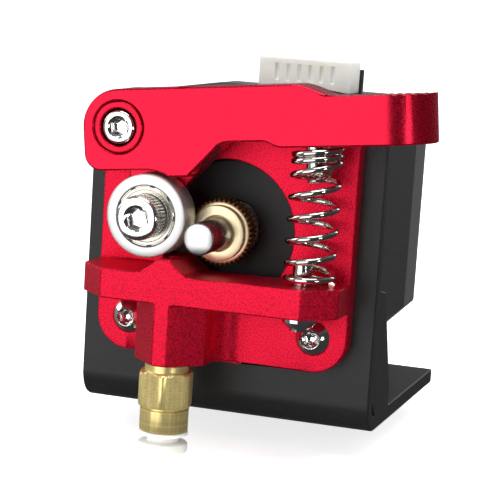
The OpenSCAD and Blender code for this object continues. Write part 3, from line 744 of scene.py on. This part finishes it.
def crown_tree() -> Tree:
    """A tree that sets small blocks in a circle round the z axis, as crimps or teeth."""
    tree = Tree("blocks_in_a_circle")
    radius, count, block = tree.size("Radius"), tree.size("Count", "Int"), tree.size("Block", "Vector")
    jitter, seed = tree.size("Jitter"), tree.size("Seed", "Int")
    circle = tree.node("GeometryNodeMeshCircle", None, {"Vertices": count, "Radius": radius})
    cube = tree.node("GeometryNodeMeshCube", None, {"Size": block})
    index = tree.signal("GeometryNodeInputIndex")
    wobble = tree.node("FunctionNodeRandomValue", {"data_type": "FLOAT"},
                       {2: -0.5, 3: 0.5, "Seed": seed}).outputs[1]
    angle = (index + Signal(tree, wobble) * jitter) * TAU / Signal(tree, count.socket)
    turn = tree.vector(0.0, 0.0, angle)
    blocks = tree.node("GeometryNodeInstanceOnPoints", None,
                       {"Points": circle.outputs[0], "Instance": cube.outputs[0], "Rotation": turn})
    tree.end(blocks.outputs[0])
    return tree


def row_tree() -> Tree:
    """A tree that sets pins with pointed tips in a row along x."""
    tree = Tree("pins_in_a_row")
    count, pitch = tree.size("Count", "Int"), tree.size("Pitch")
    width, height = tree.size("Width"), tree.size("Height")
    line = tree.node("GeometryNodeMeshLine", None, {"Count": count, "Offset": tree.vector(pitch, 0.0, 0.0)})
    shank = tree.node("GeometryNodeMeshCylinder", None,
                      {"Vertices": 4, "Radius": width * math.sqrt(0.5), "Depth": height})
    tip = tree.node("GeometryNodeMeshCone", None,
                    {"Vertices": 4, "Radius Top": width * 0.3, "Radius Bottom": width * math.sqrt(0.5),
                     "Depth": width})
    lifted = tree.node("GeometryNodeTransform", None,
                       {"Geometry": tip.outputs[0], "Translation": tree.vector(0.0, 0.0, height / 2)})
    both = tree.node("GeometryNodeJoinGeometry")
    for part in (lifted.outputs[0], shank.outputs[0]):
        tree.tree.links.new(part, both.inputs[0])
    squared = tree.node("GeometryNodeTransform", None,
                        {"Geometry": both.outputs[0], "Rotation": (0.0, 0.0, math.pi / 4)})
    pins = tree.node("GeometryNodeInstanceOnPoints", None,
                     {"Points": line.outputs[0], "Instance": squared.outputs[0]})
    tree.end(pins.outputs[0])
    return tree


# ---------- screws ----------


@dataclass
class SocketScrew:
    """A straight-sided hexagon-socket screw with a knurled head, or a domed one. Sizes in millimetres."""

    head_d: float
    head_h: float
    socket: float
    shank_d: float
    shank: float
    domed: bool = False
    knurls: int = 36
    dome: float = 3.4
    floor_dip: float = 0.4

    def rings(self) -> list[Ring]:
        """The screw's rings from the shank's tip up to the bottom of the socket."""
        r, h, s = self.head_d / 2, self.head_h, self.shank_d / 2
        start = [Ring(0, -self.shank), Ring(s - 0.35, -self.shank), Ring(s, -self.shank + 0.35), Ring(s, 0)]
        if self.domed:
            dome = [Ring(math.sqrt(max(0.0, self.dome**2 - (self.dome - h + z) ** 2)), z)
                    for z in (h * k / 7 for k in range(1, 7))]
            mouth = self.socket / math.sqrt(3) + 0.22
            head = [Ring(r - 0.12, 0), Ring(r, 0.1)]
            head += [Ring(min(r, ring.radius), ring.along) for ring in dome]
            head += [Ring(mouth + 0.12, h - 0.01), Ring(mouth, h - 0.04)]
        else:
            knurl = (Outline.KNURL, self.knurls, 0.16)
            mouth = self.socket / math.sqrt(3) + 0.3
            head = [Ring(r - 0.25, 0), Ring(r - 0.1, 0.12), Ring(r, 0.3, *knurl), Ring(r, h - 0.62, *knurl),
                    Ring(r - 0.1, h - 0.5), Ring(r - 0.12, h - 0.3), Ring(r - 0.22, h - 0.12),
                    Ring(r - 0.42, h), Ring(mouth + 0.05, h), Ring(mouth, h - 0.06)]
        deep = h - min(1.9, h * 0.6)
        flat = self.socket / 2
        well = [Ring(flat + 0.02, h - 0.3, Outline.HEX), Ring(flat, h - 0.36, Outline.HEX),
                Ring(flat, deep + 0.1, Outline.HEX), Ring(flat - 0.08, deep, Outline.HEX),
                Ring(0, deep - self.floor_dip)]
        return start + head + well

    def make(self, name: str, where: Matrix) -> bpy.types.Object:
        """Makes the screw, with its head's seat at the frame's origin."""
        return turned(name, self.rings(), where, 72 if self.domed else self.knurls * 6)


# ---------- sub-assemblies ----------


@dataclass
class Bracket:
    """The angle bracket with its foot and two gussets."""

    edge: float = 0.28

    def build(self) -> None:
        """Makes the bracket with softened, coated edges."""
        finished(softened("mounting_bracket", "bracket_sheet", self.edge), "frame",
                 BRACKET_COAT, "black_powder_coat", "mounting_bracket")


@dataclass
class Block:
    """The slotted red block and the domed screws that hold it."""

    edge: float = 0.26
    screw: SocketScrew = field(default_factory=lambda: SocketScrew(5.7, 1.65, 2.0, 3.0, 9.8, domed=True))

    def build(self, copies: Tree) -> None:
        """Makes the block and its screws."""
        finished(softened("base_block", "clamp_block", self.edge), "frame",
                 RED_BLOCK, "red_anodised", "base_block")
        low, high = corners_of("plate_screws")
        r = self.screw.head_d / 2 * MM
        seat = low.y + self.screw.head_h * MM
        spots = bpy.data.meshes.new("screw_spots")
        spots.from_pydata([(low.x + r, seat, low.z + r), (high.x - r, seat, low.z + r),
                           (high.x - r, seat, high.z - r)], [], [])
        master = self.screw.make("screw_master", frame_at(Vector(), Facing.FRONT, 14))
        piece = copies.grow("block_screws", spots, NICKEL, {"Piece": master, "Scale": 1.0})
        bpy.data.objects.remove(master)
        smooth(piece.data)
        finished(piece, "frame", NICKEL, "bright_nickel", "plate_screws")


@dataclass
class Lever:
    """The sprung idler lever, its pivot and the screws that hold the spring."""

    edge: float = 0.34
    tilt: float = 6.0
    grip_long: float = 15.5
    grip_deep: float = 4.5
    ridge_share: float = 0.16
    pivot_screw: SocketScrew = field(default_factory=lambda: SocketScrew(5.5, 3.0, 2.5, 3.0, 14.0, knurls=30))
    stud: SocketScrew = field(default_factory=lambda: SocketScrew(5.7, 1.65, 2.0, 3.0, 6.0, domed=True))
    guide: SocketScrew = field(default_factory=lambda: SocketScrew(5.7, 2.6, 2.0, 3.0, 8.05, domed=True))

    def weigh(self, edge: bmesh.types.BMEdge) -> float:
        """Gives the thumb grip's fine ridges a narrower edge than the rest."""
        middle = (edge.verts[0].co + edge.verts[1].co) / 2
        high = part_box("lever_arm")[1]
        on_grip = middle.x > high[0] - self.grip_long * MM and middle.z > high[2] - self.grip_deep * MM
        return self.ridge_share if on_grip else 1.0

    def build(self) -> None:
        """Makes the lever, its bush, washer and screws."""
        finished(softened("lever_arm", "lever", self.edge, 3, True, self.weigh), "lever",
                 RED_LEVER, "red_anodised", "lever_arm")
        finished(softened("pivot_bush", "pivot_bush_red", 0.2), "frame", RED_LEVER, "red_anodised", "pivot_bush")
        repaint(BEARING_STEEL, "pivot_washer")
        middle = centre_of("pivot_screw")
        seat = Vector((middle.x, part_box("pivot_screw")[0][1] + self.pivot_screw.head_h * MM, middle.z))
        finished(self.pivot_screw.make("pivot_bolt", frame_at(seat, Facing.FRONT, 8)), "frame",
                 NICKEL, "bright_nickel", "pivot_screw")
        self.spring_screws()

    def spring_screws(self) -> None:
        """Makes the stud screw in the lever and the guide screw in the bar."""
        low, high = corners_of("spring_stud_screw")
        lean = math.radians(self.tilt)
        half = self.stud.head_d / 2 * MM
        seat = Vector(((low.x + high.x) / 2, (low.y + high.y) / 2, low.z + half * math.sin(lean)))
        seat += self.stud.head_h * MM * Vector((-math.sin(lean), 0, math.cos(lean)))
        seat.x = high.x - half * math.cos(lean)
        finished(self.stud.make("spring_stud", frame_at(seat, Facing.DOWN, 0, -self.tilt)), "lever",
                 NICKEL, "bright_nickel", "spring_stud_screw")
        middle = centre_of("spring_guide_screw")
        under = Vector((middle.x, middle.y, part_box("spring_guide_screw")[0][2] + self.guide.head_h * MM))
        finished(self.guide.make("spring_guide", frame_at(under, Facing.DOWN, 10)), "frame",
                 NICKEL, "bright_nickel", "spring_guide_screw")


@dataclass
class Idler:
    """The idler bearing on the lever, with its screw."""

    land: float = 4.55
    shield_in: float = 3.5
    crimps: int = 9
    screw: SocketScrew = field(default_factory=lambda: SocketScrew(7.0, 4.0, 3.0, 4.0, 7.8, knurls=40))

    def build(self, crown: Tree) -> None:
        """Makes the bearing's visible rings and shields, and the screw."""
        low, high = corners_of("idler_outer_ring")
        r, width = (high.x - low.x) / 2 / MM, (high.y - low.y) / MM
        back = Vector(((low.x + high.x) / 2, high.y, (low.z + high.z) / 2))
        where = frame_at(back, Facing.FRONT)
        c, lip = 0.3, 0.5
        seat = self.land + 0.3
        section = [Ring(seat, 0.08), Ring(seat + 0.08, 0), Ring(r - c, 0), Ring(r - 0.09, 0.09), Ring(r, c),
                   Ring(r, width - c), Ring(r - 0.09, width - 0.09), Ring(r - c, width), Ring(seat + 0.08, width),
                   Ring(seat, width - 0.08), Ring(seat, width - lip), Ring(self.land, width - lip),
                   Ring(self.land, lip), Ring(seat, lip)]
        finished(turned("idler_ring", section, where, 128, closed=True), "idler_roller",
                 BEARING_STEEL, "bearing_steel", "idler_outer_ring")
        self.shields(crown, where, width)
        repaint(BEARING_STEEL, "idler_inner_ring", "idler_balls", "idler_washer")
        repaint(CAGE, "idler_cage")
        head = Vector((back.x, low.y, back.z))
        finished(self.screw.make("idler_bolt", frame_at(head, Facing.FRONT, 17)), "lever",
                 NICKEL, "bright_nickel", "idler_screw")

    def shields(self, crown: Tree, where: Matrix, width: float) -> None:
        """Makes the two pressed shields; black blocks round their edges and a black ring beside them are painted shade
        in the crimps and in the gap to the outer ring.
        """
        edge = self.land + 0.28
        faces = []
        for name, near, far in (("shield_front", width - 0.1, width - 0.4), ("shield_back", 0.1, 0.4)):
            step = (far - near) / 0.3
            section = [Ring(self.shield_in, near + 0.12 * step), Ring(self.shield_in + 0.5, near + 0.12 * step),
                       Ring(self.shield_in + 0.62, near), Ring(edge - 0.35, near),
                       Ring(edge - 0.25, near + 0.08 * step), Ring(edge - 0.14, near + 0.08 * step),
                       Ring(edge - 0.14, far), Ring(self.shield_in, far)]
            faces.append(turned(name, section, where, 96, closed=True))
        plain = Matrix.Translation(Vector((0, 0, (width - 0.16) * MM)))
        # painted shade: black blocks stand for the shade in the crimped dents
        crimps = crown.grow("crimps", None, BLACK_OXIDE,
                            {"Radius": (self.land + 0.06) * MM, "Count": self.crimps,
                             "Block": (0.16 * MM, 0.8 * MM, 0.12 * MM), "Jitter": 0.12, "Seed": 4})
        crimps.data.transform(plain)
        crimps.data.transform(where @ Matrix.Scale(1 / MM, 4))
        finished(crimps, "idler_roller", BLACK_OXIDE, "bearing_steel")
        # painted shade: a black ring stands for the shade in the gap between the shield and the outer ring
        gap = [Ring(edge - 0.12, width - 0.3), Ring(edge - 0.12, width - 0.12), Ring(edge, width - 0.12),
               Ring(edge, width - 0.3)]
        finished(turned("shield_gap", gap, where, 96, closed=True), "idler_roller", BLACK_OXIDE, "bearing_steel")
        crimps.name = "shield_crimps"
        for face in faces:
            finished(face, "idler_roller", SHIELD_STEEL, "bearing_steel", "idler_shields")


@dataclass
class DriveGear:
    """The toothed brass gear, its grub screw and the motor shaft."""

    teeth: int = 40
    nose: float = 1.4
    band: float = 3.0
    hub_d: float = 8.8
    bore: float = 5.06
    tooth_depth: float = 0.45

    def rings(self, tip: float, width: float) -> list[Ring]:
        """The gear's rings from its back to its front.

        Args:
            tip: radius over the teeth.
            width: length of the whole gear.

        Returns:
            A closed section that leaves the bore open.
        """
        hub, b = self.hub_d / 2, self.bore / 2
        toothed, deep = (Outline.TEETH, self.teeth), self.tooth_depth
        root, front = tip - deep - 0.1, width - self.nose
        back = front - self.band
        boss = [Ring(b + 0.2, 0), Ring(hub - 0.2, 0), Ring(hub, 0.2), Ring(hub, back - 0.05)]
        band = [Ring(root, back), Ring(tip - 0.2, back + 0.03, *toothed, deep - 0.2),
                Ring(tip, back + 0.2, *toothed, deep), Ring(tip - 0.14, back + self.band * 0.3, *toothed, deep - 0.1),
                Ring(tip - 0.2, back + self.band * 0.5, *toothed, deep - 0.15),
                Ring(tip - 0.14, back + self.band * 0.7, *toothed, deep - 0.1),
                Ring(tip, front - 0.2, *toothed, deep), Ring(tip - 0.2, front - 0.03, *toothed, deep - 0.2),
                Ring(root, front)]
        nose = [Ring(hub, front + 0.05), Ring(hub, width - 0.12), Ring(hub - 0.04, width - 0.04),
                Ring(hub - 0.12, width), Ring(b + 0.4, width), Ring(b, width - 0.35), Ring(b, 0.2)]
        return boss + band + nose

    def build(self) -> None:
        """Makes the gear, and dresses the grub screw and the shaft."""
        low, high = corners_of("drive_gear")
        middle = centre_of("drive_gear")
        where = frame_at(Vector((middle.x, high.y, middle.z)), Facing.FRONT)
        # painted shade: beyond the hub's radius the teeth take the finish's dark brown rim colour
        brass = TurnedMetal("gear_brass", (0.95, 0.8, 0.52), 0.34, 0.85, centre=tuple(middle), line=0.00012,
                            depth=0.000004, rim=self.hub_d / 2 * MM + 0.0003)
        rings = self.rings((high.x - low.x) / 2 / MM, (high.y - low.y) / MM)
        finished(turned("hobbed_gear", rings, where, self.teeth * 8, closed=True), "rotor",
                 brass, "brass", "drive_gear")
        repaint(BLACK_OXIDE, "gear_grub_screw")
        low, high = corners_of("motor_shaft")
        long, r = (high.y - low.y) / MM, (high.x - low.x) / 2 / MM
        rings = [Ring(0, 0), Ring(r - 0.3, 0), Ring(r, 0.3), Ring(r, long - 0.3), Ring(r - 0.06, long - 0.12),
                 Ring(r - 0.3, long), Ring(0, long)]
        steel = TurnedMetal("shaft_steel_turned", (0.62, 0.62, 0.61), 0.24, 1.0, centre=tuple(middle), line=0.00015)
        where = frame_at(Vector((middle.x, high.y, middle.z)), Facing.FRONT)
        finished(turned("steel_shaft", rings, where, 72), "rotor", steel, "shaft_steel", "motor_shaft")


@dataclass
class Spring:
    """The compression spring between the lever and the bar."""

    wire_d: float = 1.0
    outside_d: float = 8.2
    open_coils: int = 5
    lean: float = 6.0
    seated: float = 2.5

    def build(self, coil: Tree) -> None:
        """Winds the spring between the bar and the lever."""
        low, high = corners_of("tension_spring")
        slope = math.tan(math.radians(self.lean))
        length = (high.z - low.z) / MM - (self.outside_d - self.wire_d) / 2 * slope
        closed = self.wire_d * 1.04
        pitch = (length - self.wire_d - 3 * closed) / self.open_coils
        turns = self.open_coils + 3
        piece = coil.grow("lever_spring", None, SPRING_WIRE,
                          {"Radius": (self.outside_d - self.wire_d) / 2 * MM, "Wire Radius": self.wire_d / 2 * MM,
                           "Closed Pitch": closed * MM, "Open Pitch": pitch * MM,
                           "Open Turns": float(self.open_coils), "Turns": float(turns), "Lean": slope,
                           "Steps": turns * 40 + 1, "Sides": 14})
        middle = (low + high) / 2
        piece.data.transform(Matrix.Translation(Vector((middle.x, middle.y, low.z))))
        smooth(piece.data, 50)
        self.let_shorten(piece)
        dressed(piece, SPRING_WIRE, "bright_nickel", "tension_spring")

    def let_shorten(self, piece: bpy.types.Object) -> None:
        """Bakes the piece's transform into its mesh."""
        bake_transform(piece)


@dataclass
class TubeFitting:
    """The push-in fitting under the block, with its white release ring."""

    body_d: float = 7.7
    hexagon: float = 8.0
    hex_h: float = 5.6
    body_h: float = 4.0
    thread: float = 6.0
    cavity: float = 6.4
    bore: float = 4.2

    def build(self) -> None:
        """Makes the brass body, the collar and the release ring."""
        low, high = corners_of("fitting_body")
        middle = centre_of("fitting_body")
        foot = Vector((middle.x, middle.y, low.z))
        height = (high.z - low.z) / MM
        brass = TurnedMetal("fitting_brass", (1.0, 0.77, 0.32), 0.32, 0.75, centre=tuple(foot), upright=True,
                            line=0.00013, depth=0.000003, hatch=1.5)
        r, flat, lift = self.body_d / 2, self.hexagon / 2, self.body_h
        corner = flat / math.cos(math.pi / 6)
        top = lift + self.hex_h
        hexed = (Outline.HEX, 0, 0.0)
        rings = [Ring(self.cavity / 2, 0.15), Ring(self.cavity / 2 + 0.15, 0), Ring(r - 0.35, 0),
                 Ring(r - 0.1, 0.1), Ring(r, 0.35), Ring(r, lift - 0.45), Ring(r - 0.22, lift - 0.3),
                 Ring(r - 0.22, lift - 0.08), Ring(r - 0.15, lift),
                 Ring(flat, lift + 0.02, *hexed, flat + 0.02), Ring(flat, lift + 0.2, *hexed, corner - 0.28),
                 Ring(flat, lift + 0.5, *hexed, corner - 0.06), Ring(flat, top - 0.5, *hexed, corner - 0.06),
                 Ring(flat, top - 0.2, *hexed, corner - 0.28), Ring(flat, top - 0.02, *hexed, flat + 0.02),
                 Ring(flat - 0.12, top), Ring(3.5, top), Ring(3.45, top + 0.1), Ring(3.45, top + 1.1),
                 Ring(3.3, top + 1.2), Ring(self.thread / 2 - 0.02, top + 1.2),
                 Ring(self.thread / 2 - 0.02, height - 0.4), Ring(self.thread / 2 - 0.4, height),
                 Ring(1.1, height), Ring(1.1, top), Ring(2.05, top), Ring(2.05, 6.2), Ring(self.cavity / 2, 6.2)]
        finished(turned("fitting_brass_body", rings, frame_at(foot, Facing.UP, 12), 96, closed=True), "frame",
                 brass, "brass", "fitting_body")
        self.white_parts()
        repaint(RUBBER, "fitting_o_ring")
        repaint(BEARING_STEEL, "fitting_grab_ring")

    def white_parts(self) -> None:
        """Makes the collar and the release ring."""
        middle = centre_of("fitting_collar")
        low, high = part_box("fitting_collar")
        tall = (high[2] - low[2]) / MM
        foot = Vector((middle.x, middle.y, low[2]))
        rim = (high[0] - low[0]) / 2 / MM
        sleeve = self.cavity / 2 - 0.06
        collar = [Ring(2.62, 0), Ring(rim - 0.15, 0), Ring(rim, 0.12), Ring(rim, 0.5), Ring(rim - 0.1, 0.6),
                  Ring(sleeve, 0.6), Ring(sleeve, tall), Ring(2.56, tall), Ring(2.56, 0.1)]
        finished(turned("fitting_white_collar", collar, frame_at(foot, Facing.UP), 72, closed=True), "frame",
                 WHITE_NYLON, "white_plastic", "fitting_collar")
        low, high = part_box("release_ring")
        tall = (high[2] - low[2]) / MM
        foot = Vector((middle.x, middle.y, low[2]))
        rim, b = (high[0] - low[0]) / 2 / MM, self.bore / 2
        ring = [Ring(b + 0.3, 0), Ring(rim - 0.5, 0), Ring(rim - 0.15, 0.12), Ring(rim, 0.45), Ring(rim, 1.35),
                Ring(rim - 0.12, 1.6), Ring(rim - 0.35, 1.7), Ring(2.65, 1.7), Ring(2.5, 1.85), Ring(2.5, tall),
                Ring(b, tall), Ring(b, 0.3)]
        finished(turned("release_button", ring, frame_at(foot, Facing.UP), 72, closed=True), "release",
                 WHITE_NYLON, "white_plastic", "release_ring")


@dataclass
class Motor:
    """The stepper motor behind the bracket."""

    edge: float = 0.3
    screw: SocketScrew = field(default_factory=lambda: SocketScrew(5.5, 3.0, 2.5, 3.0, 28.0, knurls=30))

    def build(self, copies: Tree) -> None:
        """Makes the body, its screws and dresses what is inside."""
        finished(softened("motor_front_cap", "motor_front", self.edge), "frame",
                 MOTOR_PAINT, "black_motor_paint", "motor_front_cap")
        finished(softened("motor_stator", "motor_middle", 0.12), "frame",
                 MOTOR_STACK, "black_motor_paint", "motor_stator")
        finished(softened("motor_rear_cap", "motor_rear", self.edge), "frame",
                 CAST_ALLOY, "cast_alloy", "motor_rear_cap")
        low, high = corners_of("motor_case_screws")
        r = self.screw.head_d / 2 * MM
        seat = high.y - self.screw.head_h * MM
        spots = bpy.data.meshes.new("case_screw_spots")
        spots.from_pydata([(x, seat, z) for x in (low.x + r, high.x - r) for z in (low.z + r, high.z - r)], [], [])
        master = self.screw.make("case_screw_master", frame_at(Vector(), Facing.BACK, 8))
        piece = copies.grow("motor_screws", spots, NICKEL, {"Piece": master, "Scale": 1.0})
        bpy.data.objects.remove(master)
        smooth(piece.data)
        finished(piece, "frame", NICKEL, "bright_nickel", "motor_case_screws")
        self.inside()

    def inside(self) -> None:
        """Dresses the pieces inside the motor."""
        repaint(BOBBIN, "winding_bobbins")
        repaint(COPPER, "motor_windings")
        repaint(SHAFT_STEEL, "rotor_cups")
        repaint(MAGNET, "rotor_magnet")
        repaint(BEARING_STEEL, "front_bearing_outer", "front_bearing_inner", "front_bearing_balls",
                "rear_bearing_outer", "rear_bearing_inner", "rear_bearing_balls", "wave_washer")


@dataclass
class Connector:
    """The white six-way socket on the motor."""

    contacts: int = 6
    pitch: float = 2.0
    pin: float = 0.5

    def build(self, row: Tree) -> None:
        """Makes the housing, the board behind it and the contacts."""
        finished(softened("connector_housing", "socket_shell", 0.14), "frame",
                 WHITE_NYLON, "white_plastic", "connector_housing")
        finished(softened("connector_board", "socket_board", 0.12), "frame",
                 BOARD_BLACK, "bobbin_plastic", "connector_board")
        low, high = corners_of("connector_pins")
        tall = (high.z - low.z) / MM - self.pin
        pins = row.grow("socket_contacts", None, CONTACT,
                        {"Count": self.contacts, "Pitch": self.pitch * MM, "Width": self.pin * MM, "Height": tall * MM})
        pins.data.transform(Matrix.Translation(Vector((low.x + self.pin / 2 * MM, (low.y + high.y) / 2,
                                                       low.z + tall / 2 * MM))))
        finished(pins, "frame", CONTACT, "gold_pin", "connector_pins")


# ---------- studio ----------


@dataclass
class Studio:
    """The pale floor, soft lights and camera. Lengths in metres."""

    azimuth: float = 16.72
    elevation: float = 9.39
    roll: float = 3.86
    target: tuple[float, float, float] = (0.00756, -0.02375, 0.02226)
    distance: float = 0.29478
    lens: float = 133.2
    shift: tuple[float, float] = (-0.047, 0.075)

    def build(self) -> None:
        """Makes the stage, the lights and the camera."""
        self.floor()
        self.world()
        self.light("key_light", (-0.26, -0.75, 0.02), 0.7, 3.5)
        self.light("side_light", (-0.6, -0.1, 0.3), 0.35, 1.2)
        self.light("top_light", (0.02, -0.1, 0.6), 0.4, 3.0)
        self.light("edge_light", (0.6, -0.5, 0.0), 0.14, 0.8)
        self.light("back_light", (0.3, 0.7, 0.35), 0.4, 1.2)
        self.camera()

    def floor(self) -> None:
        """Makes a plain floor that curves up into a backdrop."""
        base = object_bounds()[0].z
        shape = bmesh.new()
        rows = []
        profile = [(-2.0, 0.0), (0.5, 0.0)]
        profile += [(0.5 + 0.5 * math.sin(a), 0.5 - 0.5 * math.cos(a)) for a in
                    (math.pi / 2 * k / 12 for k in range(1, 13))]
        profile.append((1.0, 2.0))
        for y, z in profile:
            rows.append([shape.verts.new((x, y, base + z)) for x in (-2.0, 2.0)])
        for near, far in zip(rows, rows[1:]):
            shape.faces.new((near[0], near[1], far[1], far[0]))
        mesh = bpy.data.meshes.new("floor")
        shape.to_mesh(mesh)
        shape.free()
        smooth(mesh, 60)
        floor = new_object("floor", mesh)
        white = Finish("stage_white", (0.92, 0.92, 0.92), 0.9)
        made = white.material()
        shader = made.node_tree.nodes["Principled BSDF"]
        shader.inputs["Emission Color"].default_value = (1, 1, 1, 1)
        shader.inputs["Emission Strength"].default_value = 0.75
        mesh.materials.append(made)
        floor.visible_glossy = False
        floor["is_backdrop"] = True

    def world(self) -> None:
        """Makes a soft room: pale above and to the left, dark to the right and below."""
        bpy.context.scene.view_settings.view_transform = "Standard"
        world = bpy.data.worlds.new("studio_room")
        bpy.context.scene.world = world
        world.use_nodes = True
        graph = Graph(world.node_tree)
        background = world.node_tree.nodes["Background"]
        direction = graph.node("ShaderNodeTexCoord").outputs["Generated"]
        x, y, z = graph.split(direction)
        level = (z * 0.5 - x * 0.45 + y * 0.2 + 0.3).between(0.03, 1.0)
        mix = graph.node("ShaderNodeMix", {"data_type": "RGBA"},
                         {0: level, 6: (0.1, 0.1, 0.105, 1), 7: (1.0, 1.0, 1.0, 1)})
        graph.tree.links.new(mix.outputs[2], background.inputs["Color"])
        background.inputs["Strength"].default_value = 0.32

    def light(self, name: str, place: tuple[float, float, float], size: float, power: float) -> None:
        """Adds one soft square light aimed at the unit."""
        data = bpy.data.lights.new(name, "AREA")
        data.shape = "SQUARE"
        data.size = size
        data.energy = power
        lamp = bpy.data.objects.new(name, data)
        bpy.context.scene.collection.objects.link(lamp)
        lamp.location = place
        lamp.rotation_euler = (Vector(self.target) - Vector(place)).to_track_quat("-Z", "Y").to_euler()

    def camera(self) -> None:
        """Places the camera."""
        a, e, roll = (math.radians(angle) for angle in (self.azimuth, self.elevation, self.roll))
        back = Vector((math.sin(a) * math.cos(e), -math.cos(a) * math.cos(e), math.sin(e)))
        right = Vector((math.cos(a), math.sin(a), 0))
        up = back.cross(right)
        across = math.cos(roll) * right + math.sin(roll) * up
        upward = -math.sin(roll) * right + math.cos(roll) * up
        data = bpy.data.cameras.new("camera")
        data.sensor_width = 36
        data.lens = self.lens
        data.shift_x, data.shift_y = self.shift
        data.clip_start, data.clip_end = 0.01, 20
        camera = bpy.data.objects.new("camera", data)
        bpy.context.scene.collection.objects.link(camera)
        turn = Matrix((across, upward, back)).transposed().to_4x4()
        camera.matrix_world = Matrix.Translation(Vector(self.target) + back * self.distance) @ turn
        bpy.context.scene.camera = camera


def main() -> None:
    """Builds every sub-assembly in order."""
    logging.basicConfig(level=logging.INFO, format="%(name)s %(message)s")
    copies, coil, crown, row = copies_tree(), coil_tree(), crown_tree(), row_tree()
    Bracket().build()
    Block().build(copies)
    Lever().build()
    Idler().build(crown)
    DriveGear().build()
    Spring().build(coil)
    TubeFitting().build()
    Motor().build(copies)
    Connector().build(row)
    Studio().build()


if __name__ == "__main__":
    main()
